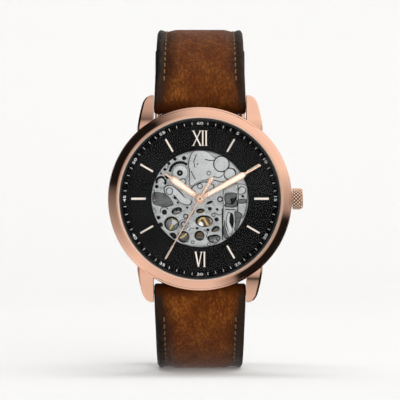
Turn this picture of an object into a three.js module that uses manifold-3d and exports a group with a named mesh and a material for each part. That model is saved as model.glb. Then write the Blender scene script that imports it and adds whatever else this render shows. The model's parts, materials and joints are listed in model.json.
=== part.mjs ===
// A skeleton wristwatch on a leather strap, in millimetres.
// +X points to 3 o'clock and the crown, +Z to 12 o'clock, and +Y from the dial to the wrist.
// The origin is the middle of the case back's glass, on its outer face, where the wrist rests.
// The strap is unbuckled: each half is curved round to the back, where the tail meets the buckle.
import * as THREE from 'three';
import { mergeVertices } from 'three/addons/utils/BufferGeometryUtils.js';
import Module from 'manifold-3d';

const wasm = await Module();
wasm.setup();

// ---- Driving dimensions -------------------------------------------------------------------

const RING_STEPS = 36; // facets round a large turned piece
const SMALL_STEPS = 14; // facets round a small one
const GAP = 0.05; // clearance between neighbours that touch on the real watch

// Levels along the case's axis, from the crystal (front) to the case back.
const CRYSTAL_TOP = -12.3;
const CRYSTAL_BACK = -10.8;
const BEZEL_TOP = -11.6;
const BEZEL_BASE = -8.8;
const DIAL_FRONT = -8.7;
const DIAL_BACK = -8.3;
const PLATE_FRONT = -8.1;
const PLATE_BACK = -7.0;
const BRIDGE_FRONT = -3.6;
const BRIDGE_BACK = -3.0;
const CASE_REAR = -1.15;
const STEM_Y = -5.6;

// Radii about the case's axis.
const CASE_R = 22;
const CHAMBER_R = 19.2;
const MOVEMENT_R = 13;
const CHAPTER_INNER_R = 17.45;
const APERTURE_R = 11.55;

// Lugs and spring bars.
const LUG_FACE_X = 11.05; // the inner faces stand 22 mm apart
const BAR_Y = -3.2;
const BAR_Z = 22.4;
const BAR_R = 0.75;

// Strap: each half follows one arc in the Y-Z plane, from its spring bar round to the back.
const STRAP_ARC_R = 34;
const STRAP_TOP_Z = 40.5;
const ARC_Z = STRAP_TOP_Z - STRAP_ARC_R;
const ARC_Y = BAR_Y + Math.sqrt(STRAP_ARC_R ** 2 - (BAR_Z - ARC_Z) ** 2);
const ARC_START = Math.atan2(BAR_Z - ARC_Z, BAR_Y - ARC_Y);
const BUCKLE_STRAP_LENGTH = 75;
const TAIL_STRAP_LENGTH = 105;
const TAIL_TIP_LENGTH = 8;
const LUG_END_R = 2.1;
const BUCKLE_END_R = 1.5;

// Wheel train: tooth counts and modules give the pitch radii and the distances between arbors.
const pitch = (teeth, module) => (teeth * module) / 2;
const TOOTH_ROOM = 0.1; // each plain rim lies this far inside its pitch circle
const CENTRE_WHEEL_R = pitch(80, 0.09);
const THIRD_PINION_R = pitch(10, 0.09);
const THIRD_DISTANCE = CENTRE_WHEEL_R + THIRD_PINION_R;
const THIRD_MODULE = (2 * THIRD_DISTANCE) / (75 + 10);
const THIRD_WHEEL_R = pitch(75, THIRD_MODULE);
const FOURTH_PINION_R = pitch(10, THIRD_MODULE);
const FOURTH_WHEEL_R = pitch(84, 0.085);
const ESCAPE_PINION_R = pitch(7, 0.085);
const BARREL_R = pitch(72, 0.15);
const CENTRE_PINION_R = pitch(12, 0.15);
const MINUTE_WHEEL_R = pitch(36, 0.1);
const CANNON_PINION_R = pitch(12, 0.1);
const MINUTE_DISTANCE = MINUTE_WHEEL_R + CANNON_PINION_R;
const HOUR_MODULE = (2 * MINUTE_DISTANCE) / (40 + 10);
const HOUR_WHEEL_R = pitch(40, HOUR_MODULE);
const MINUTE_PINION_R = pitch(10, HOUR_MODULE);
const BALANCE_R = 4.3;

// Arbor places in the dial's plane, as [x, z].
const around = (distance, degrees) => {
  const a = THREE.MathUtils.degToRad(degrees);
  return [distance * Math.cos(a), distance * Math.sin(a)];
};
const BARREL_AT = around(BARREL_R + CENTRE_PINION_R, 125);
const THIRD_AT = around(THIRD_DISTANCE, -82);
const ESCAPE_AT = around(FOURTH_WHEEL_R + ESCAPE_PINION_R, 190);
const MINUTE_AT = around(MINUTE_DISTANCE, 35);
const BALANCE_AT = [-6.2, -5.6];
const PALLET_SHARE = 0.49; // how far the pallet arbor lies from the escape arbor to the balance
const PALLET_AT = ESCAPE_AT.map((v, i) => v + PALLET_SHARE * (BALANCE_AT[i] - v));

// The time shown, as turns clockwise from 12 in degrees.
const HOUR_ANGLE = 305.5;
const MINUTE_ANGLE = 61;
const SECONDS_ANGLE = 210;

// ---- Materials ----------------------------------------------------------------------------

const material = (color, roughness, metalness, more = {}) =>
  new THREE.MeshStandardMaterial({ color, roughness, metalness, ...more });
const ROSE_GOLD = material(0xe0a283, 0.15, 1);
const STEEL = material(0xb9bcc0, 0.25, 1);
const NICKEL = material(0xc6c7c8, 0.35, 1);
const DARK_STEEL = material(0x55575a, 0.3, 1);
const GILT = material(0xc9a55a, 0.3, 1);
const DIAL_BLACK = material(0x161616, 0.6, 0);
const CHAPTER_BLACK = material(0x050505, 0.35, 0);
const GLASS = material(0xffffff, 0.02, 0, { transparent: true, opacity: 0.15 });
const RUBBER = material(0x1a1a1a, 0.8, 0);
const HOLDER = material(0x8a8c8e, 0.5, 0);
const LEATHER = material(0x6e3d1b, 0.6, 0);

// ---- Solids -------------------------------------------------------------------------------

// A closed geometry as a manifold-3d solid, and back.
function solid(geometry) {
  const g = geometry.clone();
  for (const name of ['normal', 'uv']) g.deleteAttribute(name);
  const merged = mergeVertices(g, 1e-4);
  return new wasm.Manifold(
    new wasm.Mesh({
      numProp: 3,
      vertProperties: merged.attributes.position.array,
      triVerts: new Uint32Array(merged.index.array),
    }),
  );
}

function geometryOf(manifold) {
  const m = manifold.getMesh();
  return new THREE.BufferGeometry()
    .setAttribute('position', new THREE.BufferAttribute(m.vertProperties, 3))
    .setIndex(new THREE.BufferAttribute(m.triVerts, 1));
}

const join = (first, ...rest) =>
  geometryOf(rest.reduce((whole, g) => whole.add(solid(g)), solid(first)));
const cut = (first, ...rest) =>
  geometryOf(rest.reduce((whole, g) => whole.subtract(solid(g)), solid(first)));
const common = (first, second) => geometryOf(solid(first).intersect(solid(second)));

// A piece turned about the Y axis from a closed outline of [radius, y] points.
function turned(outline, steps = RING_STEPS) {
  const points = outline.map(([r, y]) => new THREE.Vector2(r, y));
  if (THREE.ShapeUtils.area(points) < 0) points.reverse();
  const start = points.findIndex((p, i) => p.x === 0 && points.at(i - 1).x === 0);
  if (start >= 0) points.push(...points.splice(0, start)); // the open ends of the line lie on the axis
  else points.push(points[0].clone());
  return new THREE.LatheGeometry(points, steps);
}

const ring = (inner, outer, front, back, steps) =>
  turned([[inner, front], [outer, front], [outer, back], [inner, back]], steps);
const disc = (radius, front, back, steps) => ring(0, radius, front, back, steps);

// A plate with its outline of [x, z] points in the dial's plane, from y = front to y = back.
function plate(outline, front, back, holes = []) {
  const path = (points) => points.map(([x, z]) => new THREE.Vector2(x, z));
  const shape = new THREE.Shape(path(outline));
  shape.holes = holes.map((hole) => new THREE.Path(path(hole)));
  return new THREE.ExtrudeGeometry(shape, { depth: back - front, bevelEnabled: false })
    .rotateX(Math.PI / 2)
    .translate(0, back, 0);
}

// A piece with its outline of [y, z] points in side view, from x = from to x = to.
function sideways(outline, from, to) {
  const shape = new THREE.Shape(outline.map(([y, z]) => new THREE.Vector2(-z, y)));
  return new THREE.ExtrudeGeometry(shape, { depth: to - from, bevelEnabled: false })
    .rotateY(Math.PI / 2)
    .translate(from, 0, 0);
}

// A round rod along X at [y, z].
const rod = (radius, from, to, [y, z] = [0, 0], steps = SMALL_STEPS) =>
  sideways(circle(y, z, radius, steps), from, to);

// Points on an arc or a circle in any plane.
function arc(x, y, radius, from, to, steps) {
  return Array.from({ length: steps + 1 }, (_, i) => {
    const a = from + ((to - from) * i) / steps;
    return [x + radius * Math.cos(a), y + radius * Math.sin(a)];
  });
}

const circle = (x, y, radius, steps = SMALL_STEPS) =>
  arc(x, y, radius, 0, 2 * Math.PI, steps).slice(0, -1);

// A half outline of [half width, along] points, mirrored into a whole one.
const mirrored = (half) => [...half, ...half.map(([w, along]) => [-w, along]).reverse()];

const watch = new THREE.Group();

function add(name, look, geometry, place = {}) {
  const mesh = new THREE.Mesh(geometry, look);
  mesh.name = name;
  mesh.position.set(...(place.at ?? [0, 0, 0]));
  mesh.rotation.set(...(place.turn ?? [0, 0, 0]));
  watch.add(mesh);
  return mesh;
}

// ---- Case ---------------------------------------------------------------------------------

// One lug is where its outline from the front meets its outline from the side.
function lug(left, low) {
  const front = [
    [LUG_FACE_X, 14], [LUG_FACE_X, 24.85], [11.9, 24.85], [12.9, 24.4],
    [13.75, 23.1], [14.5, 20], [15.05, 16.6], [15.05, 14],
  ];
  const side = [
    [-8.7, 14], [-8.6, 18.5], [-7.9, 20.8], [-6.5, 23], [-5, 24.4], [-3.6, 24.85],
    [-1.9, 24.6], [-0.9, 23.4], [-0.8, 21], [-1.5, 18], [-1.5, 14],
  ];
  const flip = ([x, z]) => [left ? -x : x, low ? -z : z];
  return common(
    plate(front.map(flip), -9, 0),
    sideways(side.map(([y, z]) => [y, low ? -z : z]), left ? -16 : 10, left ? -10 : 16),
  );
}

function caseMiddle() {
  const body = turned([
    [20.6, CASE_REAR], [21.6, -2.6], [CASE_R, -5], [CASE_R, -7.6], [21.7, -8.75],
    [CHAMBER_R, -8.75], [CHAMBER_R, -2.7], [17.6, -2.7], [17.6, -1.7], [18.4, -1.7],
    [18.4, CASE_REAR],
  ]);
  const strapRoom = [1, -1].map((side) =>
    new THREE.BoxGeometry(2 * LUG_FACE_X, 8.2, 6).translate(0, -4.1, side * (19.95 + 3)),
  );
  const corners = [[false, false], [false, true], [true, false], [true, true]];
  const lugs = corners.map(([left, low]) => lug(left, low));
  const inside = turned([ // keeps the lugs' roots out of the movement's room
    [0, -9.5], [CHAMBER_R, -9.5], [CHAMBER_R, -2.7], [17.6, -2.7], [17.6, -1.7], [18.4, -1.7],
    [18.4, 0], [0, 0],
  ]);
  const barHoles = [1, -1].flatMap((side) => [
    rod(0.5, LUG_FACE_X - 1, 12.3, [BAR_Y, side * BAR_Z]),
    rod(0.5, -12.3, 1 - LUG_FACE_X, [BAR_Y, side * BAR_Z]),
  ]);
  const tubeHole = rod(1.3, 15, 23, [STEM_Y, 0]);
  const shell = cut(join(body, ...lugs), ...strapRoom, inside, tubeHole, ...barHoles);
  add('case_middle', ROSE_GOLD, shell);
}

function bezelAndCrystal() {
  add('bezel', ROSE_GOLD, turned([
    [CHAMBER_R, BEZEL_BASE], [CHAMBER_R, -11.2], [19.4, -11.5], [19.9, BEZEL_TOP],
    [20.6, -11.35], [21.3, -10.7], [21.75, -9.9], [21.85, -9.3], [21.6, BEZEL_BASE],
  ]));
  add('crystal', GLASS, turned([
    [0, CRYSTAL_BACK], [18.7, CRYSTAL_BACK], [18.7, -11.9], [18.3, -12.15], [9, -12.27],
    [0, CRYSTAL_TOP],
  ]));
  add('crystal_gasket', RUBBER, ring(18.75, 19.13, -11.5, CRYSTAL_BACK));
}

function caseBack() {
  add('case_back', STEEL, turned([
    [15.1, -0.15], [18.2, -0.15], [18.9, -0.5], [18.9, CASE_REAR + GAP], [17.4, CASE_REAR + GAP],
    [17.4, -2.4], [15.1, -2.4],
  ]));
  add('case_back_glass', GLASS, disc(15, -1.2, 0));
  add('case_back_gasket', RUBBER, ring(17.5, 18.3, -1.65, CASE_REAR));
}

// ---- Dial ---------------------------------------------------------------------------------

// A slim upright bar on the dial, centred on radius and turned to its hour.
function marker(name, outline, degrees, shift = [0, 0]) {
  const front = DIAL_FRONT - 0.4;
  const shape = outline.map(([x, z]) => [x + shift[0], z + shift[1]]);
  add(name, ROSE_GOLD, plate(shape, front, DIAL_FRONT - GAP), {
    turn: [0, THREE.MathUtils.degToRad(degrees), 0],
  });
}

function dialAndMarkers() {
  add('dial', DIAL_BLACK, turned([
    [APERTURE_R, DIAL_BACK], [18.95, DIAL_BACK], [18.95, DIAL_FRONT], [APERTURE_R + 0.2, DIAL_FRONT],
    [APERTURE_R, DIAL_FRONT + 0.1],
  ]));
  add('chapter_ring', CHAPTER_BLACK, turned([
    [CHAPTER_INNER_R, DIAL_FRONT - GAP], [19, DIAL_FRONT - GAP], [19, -10.7], [18.8, -10.7],
  ]));
  const from = 12.95;
  const to = 16.4;
  for (const hour of [1, 2, 3, 4, 5, 7, 8, 9, 10, 11]) {
    const half = hour % 3 ? 0.21 : 0.25;
    const bar = mirrored([[half, from], [half, to]]);
    marker(`hour_marker_${String(hour).padStart(2, '0')}`, bar, hour * 30);
  }
  // Roman numerals: strokes of one width, on a band from 12.7 to 16.2 above and below the centre.
  const low = 12.7;
  const high = 16.2;
  const stroke = 0.34;
  const upright = mirrored([[stroke / 2, low], [stroke / 2, high]]);
  const slant = (bottom, top) => [
    [bottom - stroke / 2, low], [bottom + stroke / 2, low],
    [top + stroke / 2, high], [top - stroke / 2, high],
  ];
  const front = DIAL_FRONT - 0.4;
  const back = DIAL_FRONT - GAP;
  const cross = join(plate(slant(-1.6, 0.1), front, back), plate(slant(0.1, -1.6), front, back));
  add('numeral_12_x', ROSE_GOLD, cross);
  marker('numeral_12_i_left', upright, 0, [0.65, 0]);
  marker('numeral_12_i_right', upright, 0, [1.45, 0]);
  const down = (points) => points.map(([x, z]) => [x, z - low - high]);
  const vee = join(
    plate(down(slant(-0.35, -1.05)), front, back),
    plate(down(slant(-0.35, 0.35)), front, back),
  );
  add('numeral_6_v', ROSE_GOLD, vee);
  marker('numeral_6_i', down(upright), 0, [1.05, 0]);
}

// ---- Hands --------------------------------------------------------------------------------

// A hand with a round hub, as a plate from front to back that points to 12 before it is turned.
function hand(name, half, hub, bore, front, degrees) {
  const back = front + 0.2;
  const blade = join(plate(mirrored(half), front, back), disc(hub, front, back, SMALL_STEPS));
  const look = bore ? cut(blade, disc(bore, front - 1, back + 1, SMALL_STEPS)) : blade;
  add(name, ROSE_GOLD, look, { turn: [0, THREE.MathUtils.degToRad(degrees), 0] });
}

function hands() {
  hand('hour_hand',
    [[0.4, 0.9], [0.62, 2.1], [0.86, 7.2], [0.24, 8.8], [0.14, 10.9]],
    1.3, 0.95, -9.25, HOUR_ANGLE);
  hand('minute_hand',
    [[0.36, 0.7], [0.6, 2.2], [0.8, 11.2], [0.28, 12.4], [0.2, 16.5]],
    1.1, 0.65, -9.75, MINUTE_ANGLE);
  hand('seconds_hand',
    [[0.52, -5.9], [0.26, -1], [0.17, 1], [0.13, 16.7]],
    0.8, 0, -10.35, SECONDS_ANGLE);
}

// ---- Movement -----------------------------------------------------------------------------

// A wheel's outline with spoked windows, as [outline, windows].
function spoked(radius, hub, rim, spokes, steps = 28) {
  const inner = radius - rim;
  const pitchAngle = (2 * Math.PI) / spokes;
  const windows = Array.from({ length: spokes }, (_, i) => {
    const start = i * pitchAngle;
    const far = 0.28 / inner;
    const near = 0.28 / hub;
    return [
      ...arc(0, 0, inner, start + far, start + pitchAngle - far, 4),
      ...arc(0, 0, hub, start + pitchAngle - near, start + near, 2),
    ];
  });
  return [circle(0, 0, radius, steps), windows];
}

// A wheel with its arbor and pinion, all about its own axis; arbor lists [radius, front, back].
function wheel(name, look, at, arbor, outline = null) {
  const rods = arbor.map(([radius, front, back]) => disc(radius, front, back, SMALL_STEPS));
  const parts = outline ? [plate(outline.shape[0], outline.front, outline.back, outline.shape[1])] : [];
  return add(name, look, join(...parts, ...rods), { at: [at[0], 0, at[1]] });
}

function goingTrain() {
  const bored = (geometry, bore) => cut(geometry, disc(bore, -12, 0, SMALL_STEPS));
  const centre = wheel('centre_wheel', GILT, [0, 0],
    [[0.32, -8.9, -5.3], [CENTRE_PINION_R - TOOTH_ROOM, -6.9, -6.4]],
    { shape: spoked(CENTRE_WHEEL_R - TOOTH_ROOM, 0.8, 0.5, 4), front: -5.5, back: -5.25 });
  centre.geometry = bored(centre.geometry, 0.2);
  wheel('third_wheel', GILT, THIRD_AT,
    [[0.2, -6.9, -3.7], [THIRD_PINION_R - TOOTH_ROOM, -5.65, -5.15]],
    { shape: spoked(THIRD_WHEEL_R - TOOTH_ROOM, 0.8, 0.5, 5), front: -5.05, back: -4.85 });
  wheel('fourth_wheel', GILT, [0, 0],
    [[0.15, -10.1, -3.7], [FOURTH_PINION_R - TOOTH_ROOM, -5.15, -4.5]],
    { shape: spoked(FOURTH_WHEEL_R - TOOTH_ROOM, 0.8, 0.5, 4), front: -4.6, back: -4.4 });
  wheel('escape_wheel', STEEL, ESCAPE_AT,
    [[0.12, -6.9, -3.7], [0.22, -4.7, -4]],
    { shape: spoked(2.2, 0.6, 0.4, 4, 24), front: -4.15, back: -3.95 });
  const drum = disc(BARREL_R - TOOTH_ROOM, -6.9, -6.4);
  add('mainspring_barrel', GILT, bored(join(drum, disc(BARREL_R - 0.5, -6.5, -5.7)), 0.6),
    { at: [BARREL_AT[0], 0, BARREL_AT[1]] });
  wheel('ratchet_wheel', STEEL, BARREL_AT, [[0.5, -8, -3.7]],
    { shape: [circle(0, 0, 2.5, 32), []], front: -4.1, back: -3.9 });
}

function motionWorks() {
  const bored = (geometry, bore) => cut(geometry, disc(bore, -12, 0, SMALL_STEPS));
  add('cannon_pinion', STEEL, bored(join(
    disc(0.6, -9.8, -8.5, SMALL_STEPS),
    disc(CANNON_PINION_R - TOOTH_ROOM, -8.6, -7.2, SMALL_STEPS),
  ), 0.37));
  add('hour_wheel', NICKEL, bored(join(
    disc(0.9, -9.3, -8.25, SMALL_STEPS),
    disc(HOUR_WHEEL_R - TOOTH_ROOM, -8.45, -8.2, 32),
  ), 0.66));
  wheel('minute_wheel', NICKEL, MINUTE_AT,
    [[MINUTE_PINION_R - TOOTH_ROOM, -8.45, -7.9]],
    { shape: [circle(0, 0, MINUTE_WHEEL_R - TOOTH_ROOM, 32), []], front: -8.05, back: -7.85 });
}

function escapement() {
  const toBalance = Math.atan2(BALANCE_AT[1] - PALLET_AT[1], BALANCE_AT[0] - PALLET_AT[0]);
  const lever = [
    [-0.35, -1.4], [-0.75, -1.15], [-0.2, -0.35], [2.1, -0.16], [2.1, 0.16], [-0.2, 0.35],
    [-0.75, 1.15], [-0.35, 1.4], [0.3, 0.5], [0.3, -0.5],
  ];
  const order = [0, 1, 2, 6, 7, 8, 4, 3, 9]; // round the anchor's arms and the lever in turn
  const fork = join(
    plate(order.map((i) => lever[i]), -4.15, -3.95),
    disc(0.12, -5.9, -3.7, SMALL_STEPS),
  );
  add('pallet_fork', STEEL, fork, { at: [PALLET_AT[0], 0, PALLET_AT[1]], turn: [0, -toBalance, 0] });

  wheel('balance_wheel', GILT, BALANCE_AT,
    [[0.15, -6.9, -3.75], [0.45, -4.2, -3.95], [0.6, -6.6, -6.25]],
    { shape: spoked(BALANCE_R, 0.5, 0.55, 3), front: -6.6, back: -6.25 });

  const turns = 4.5;
  const steps = 54;
  const spiral = (offset) => Array.from({ length: steps + 1 }, (_, i) => {
    const share = i / steps;
    const radius = 0.4 + 1.9 * share + offset;
    const a = 2 * Math.PI * turns * share;
    return [radius * Math.cos(a), radius * Math.sin(a)];
  });
  add('hairspring', STEEL, plate([...spiral(0.06), ...spiral(-0.06).reverse()], -5.6, -5.4),
    { at: [BALANCE_AT[0], 0, BALANCE_AT[1]] });
}

// The main plate's windows, as [x, z, radius, facets]: the large ones show the wheels behind it.
const PLATE_WINDOWS = [
  [-6.9, -5.9, 1.65, 16], [-3.6, -9.1, 1.3, 12], [-0.3, -8.7, 1.2, 12], [0.95, -5.2, 1.4, 12],
  [-5.3, -2.8, 1.05, 12], [0, -2.75, 0.6, 8], [2.5, -2.5, 0.45, 8], [-8.5, -3, 0.65, 8],
  [3.3, -9, 1.1, 12], [-9.5, -0.3, 1.5, 12], [7.4, -6.6, 1.2, 12], [-9.2, 4.2, 0.95, 12],
  [7.2, -0.3, 1.2, 12], [-2, 9.8, 0.7, 8], [7.6, 6.4, 1.3, 12], [4.1, -5.2, 0.45, 8],
];
const PILLAR_DEGREES = [20, 85, 170, 290, 340];

function plates() {
  const pillars = PILLAR_DEGREES.map((degrees) => {
    const [x, z] = around(12, degrees);
    return disc(0.7, PLATE_BACK - 0.3, BRIDGE_FRONT - GAP, 12).translate(x, 0, z);
  });
  const windows = PLATE_WINDOWS.map(([x, z, r, facets]) => circle(x, z, r, facets));
  const blank = plate(circle(0, 0, MOVEMENT_R, RING_STEPS), PLATE_FRONT, PLATE_BACK, windows);
  const centreHole = disc(0.75, -9, -6, SMALL_STEPS);
  const barrelHole = disc(0.6, -9, -6, SMALL_STEPS).translate(BARREL_AT[0], 0, BARREL_AT[1]);
  const minuteRecess = disc(MINUTE_WHEEL_R + 0.15, -9, -7.75, 24);
  minuteRecess.translate(MINUTE_AT[0], 0, MINUTE_AT[1]);
  add('main_plate', NICKEL,
    cut(join(blank, ...pillars), centreHole, barrelHole, minuteRecess));

  // The upper bridge on the dial side, with two lobes round its right-hand end.
  add('barrel_bridge', NICKEL, plate([
    [-1.9, 3.6], [0.2, 4.2], [2.6, 4.6], [5.2, 4.1], [7.2, 4.4],
    ...arc(7.2, 5.9, 1.2, -0.9, 1.2, 4), ...arc(5, 8.6, 1.6, -0.2, 2.2, 6),
    [2.2, 9], [1, 11], [-1.9, 10.6], [-1, 8.2],
  ], -8.45, PLATE_FRONT - GAP));

  // The keyless works' cover, down the 3 o'clock side.
  add('keyless_cover', NICKEL, plate([
    [5.7, -9.2], [8.4, -7.4], [8.9, -4], [10.6, -3.2], [10.8, 2.6], [8.9, 3.7], [5.7, 3.4],
  ], -8.45, PLATE_FRONT - GAP, [circle(7.2, -0.3, 1.2, 12), circle(7.3, -6.2, 1, 12)]));

  // The rear bridge leaves the balance clear, and the cock spans it.
  const balanceRoom = disc(BALANCE_R + 0.9, -5, -2, 28).translate(BALANCE_AT[0], 0, BALANCE_AT[1]);
  const bridge = disc(MOVEMENT_R - 0.3, BRIDGE_FRONT, BRIDGE_BACK);
  add('train_bridge', NICKEL, cut(bridge, balanceRoom));
  const cockTurn = Math.atan2(BALANCE_AT[1], BALANCE_AT[0]);
  const cock = [[-0.9, -0.9], [2, -1.2], [4.2, -1.9], [4.2, 1.9], [2, 1.2], [-0.9, 0.9]];
  add('balance_cock', NICKEL, plate(cock, BRIDGE_FRONT, BRIDGE_BACK),
    { at: [BALANCE_AT[0], 0, BALANCE_AT[1]], turn: [0, -cockTurn, 0] });

  const holder = ring(MOVEMENT_R + 0.15, 19.05, DIAL_BACK + GAP, -2.8);
  add('movement_holder', HOLDER, cut(holder, rod(1.5, 12, 20, [STEM_Y, 0])));
}

function rotor() {
  const outer = 12.4;
  const sector = (inner, from, to) => [
    ...arc(0, 0, outer, Math.PI + from, 2 * Math.PI - from, 24),
    ...arc(0, 0, inner, 2 * Math.PI - to, Math.PI + to, 12),
  ];
  const web = plate(sector(1.6, 0.1, 0.1), -2.7, -2.3);
  const weight = plate(sector(9.8, 0.1, 0.12), -2.75, -1.6);
  const hub = disc(2.2, -2.75, -2.1, 20);
  const bore = disc(1.3, -4, 0, 20);
  add('rotor', STEEL, cut(join(web, weight, hub), bore));
  add('rotor_post', STEEL, join(
    disc(1.2, BRIDGE_BACK + GAP, -1.9, SMALL_STEPS),
    disc(1.8, -1.95, -1.6, SMALL_STEPS),
  ));
}

// ---- Crown --------------------------------------------------------------------------------

// A piece turned about the stem's axis from an outline of [radius, x] points.
const onStem = (outline, steps) => turned(outline, steps).rotateZ(-Math.PI / 2);

function crownAndStem() {
  const place = { at: [0, STEM_Y, 0] };
  add('crown_tube', STEEL, onStem([[0.8, 19.6], [1.2, 19.6], [1.2, 23.6], [0.8, 23.6]], 20), place);
  add('crown', ROSE_GOLD, onStem([
    [0, 24.1], [1.75, 24.1], [1.75, 22.35], [2.45, 22.35], [2.6, 22.5], [2.6, 24.5], [2.35, 24.85],
    [0, 24.95],
  ], 24), place);
  add('crown_gasket', RUBBER, onStem([[1.27, 23], [1.7, 23], [1.7, 23.5], [1.27, 23.5]], 20), place);
  add('winding_stem', STEEL, onStem([
    [0, 6.5], [0.45, 6.5], [0.45, 6.9], [1.15, 6.9], [1.15, 8.1], [0.5, 8.1], [0.5, 8.6],
    [1.3, 8.6], [1.3, 9.4], [0.5, 9.4], [0.5, 24.05], [0, 24.05],
  ], SMALL_STEPS), place);
}

// ---- Strap --------------------------------------------------------------------------------

const strapAngle = (along) => ARC_START - along / STRAP_ARC_R;
const strapThickness = (along) => 4.2 - 1.3 * Math.min(along / 14, 1) - 0.55 * (along / 105);

function strapHalfWidth(along, tipFrom) {
  const straight = 10.85 - 0.0145 * Math.min(along, BUCKLE_STRAP_LENGTH);
  if (along <= tipFrom) return straight;
  const share = (along - tipFrom) / TAIL_TIP_LENGTH;
  return straight * Math.sqrt(1 - 0.94 * share ** 2);
}

// One half of the strap as a closed loft of flattened eight-sided sections along its arc.
function strapBand(side, stations, tipFrom) {
  const bevel = 0.45;
  const positions = [];
  for (const along of stations) {
    const a = strapAngle(along);
    const w = strapHalfWidth(along, tipFrom);
    const t = strapThickness(along) / 2;
    const section = [
      [-w, -t + bevel], [-w + bevel, -t], [w - bevel, -t], [w, -t + bevel],
      [w, t - bevel], [w - bevel, t], [-w + bevel, t], [-w, t - bevel],
    ];
    for (const [x, out] of section) {
      const r = STRAP_ARC_R + out;
      positions.push(x, ARC_Y + r * Math.cos(a), side * (ARC_Z + r * Math.sin(a)));
    }
  }
  const corners = 8;
  const last = (stations.length - 1) * corners;
  const faces = [];
  for (let base = 0; base < last; base += corners) {
    for (let i = 0; i < corners; i++) {
      const next = (i + 1) % corners;
      faces.push([base + i, base + next, base + corners + next]);
      faces.push([base + i, base + corners + next, base + corners + i]);
    }
  }
  for (let i = 1; i < corners - 1; i++) {
    faces.push([0, i + 1, i], [last, last + i, last + i + 1]);
  }
  const index = faces.flatMap((f) => (side < 0 ? f : f.reverse()));
  return new THREE.BufferGeometry()
    .setAttribute('position', new THREE.BufferAttribute(new Float32Array(positions), 3))
    .setIndex(index);
}

const strapPoint = (along) => {
  const a = strapAngle(along);
  return [ARC_Y + STRAP_ARC_R * Math.cos(a), ARC_Z + STRAP_ARC_R * Math.sin(a)];
};
const BUCKLE_BAR_AT = strapPoint(BUCKLE_STRAP_LENGTH);

const steps = (from, to, count) =>
  Array.from({ length: count + 1 }, (_, i) => from + ((to - from) * i) / count);

function buckleStrap() {
  const bar = [BAR_Y, BAR_Z];
  const slot = new THREE.BoxGeometry(2.8, 5, 5).translate(0, ...BUCKLE_BAR_AT);
  const leather = join(
    strapBand(1, steps(0, BUCKLE_STRAP_LENGTH, 17), Infinity),
    rod(LUG_END_R, -10.85, 10.85, bar),
    rod(BUCKLE_END_R, -9.7, 9.7, BUCKLE_BAR_AT),
  );
  const bored = cut(leather,
    rod(BAR_R + 0.2, -12, 12, bar), rod(0.9, -12, 12, BUCKLE_BAR_AT), slot);
  add('strap_12', LEATHER, bored);
}

function tailStrap() {
  const bar = [BAR_Y, -BAR_Z];
  const tipFrom = TAIL_STRAP_LENGTH - TAIL_TIP_LENGTH;
  const stations = [...steps(0, tipFrom, 21), tipFrom + 3.5, tipFrom + 6, tipFrom + 7.4, TAIL_STRAP_LENGTH];
  const leather = join(strapBand(-1, stations, tipFrom), rod(LUG_END_R, -10.85, 10.85, bar));
  const holes = steps(54, 90, 6).map((along) =>
    ring(0, 0.8, STRAP_ARC_R - 3, STRAP_ARC_R + 3, 10)
      .rotateX(strapAngle(along))
      .translate(0, ARC_Y, ARC_Z)
      .scale(1, 1, -1),
  );
  const outward = (g) => {
    const flipped = g.index.array;
    for (let i = 0; i < flipped.length; i += 3) {
      [flipped[i], flipped[i + 1]] = [flipped[i + 1], flipped[i]];
    }
    return g; // mirroring turned the faces round, and this turns them back
  };
  add('strap_6', LEATHER, cut(leather, rod(BAR_R + 0.2, -12, 12, bar), ...holes.map(outward)));
}

// A leather loop round the strap, with room for the tail on the outside of it.
function keeper(name, along, length) {
  const half = strapHalfWidth(along, Infinity) + 0.42;
  const wall = 0.9;
  const box = (w, from, to) => [[-w, from], [w, from], [w, to], [-w, to]];
  const shape = new THREE.Shape(
    box(half + wall, STRAP_ARC_R - 2.7, STRAP_ARC_R + 5).map((p) => new THREE.Vector2(...p)),
  );
  shape.holes = [
    new THREE.Path(
      box(half, STRAP_ARC_R - 1.75, STRAP_ARC_R + 4.05).map((p) => new THREE.Vector2(...p)),
    ),
  ];
  const band = new THREE.ExtrudeGeometry(shape, { depth: length, bevelEnabled: false });
  add(name, LEATHER, band.translate(0, 0, -length / 2), {
    at: [0, ARC_Y, ARC_Z],
    turn: [strapAngle(along), 0, 0],
  });
}

function springBar(name, side) {
  const tip = 0.4;
  add(name, STEEL, join(
    rod(BAR_R, -10.9, 10.9),
    rod(tip, -12.1, -10.8),
    rod(tip, 10.8, 12.1),
  ), { at: [0, BAR_Y, side * BAR_Z] });
}

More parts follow.
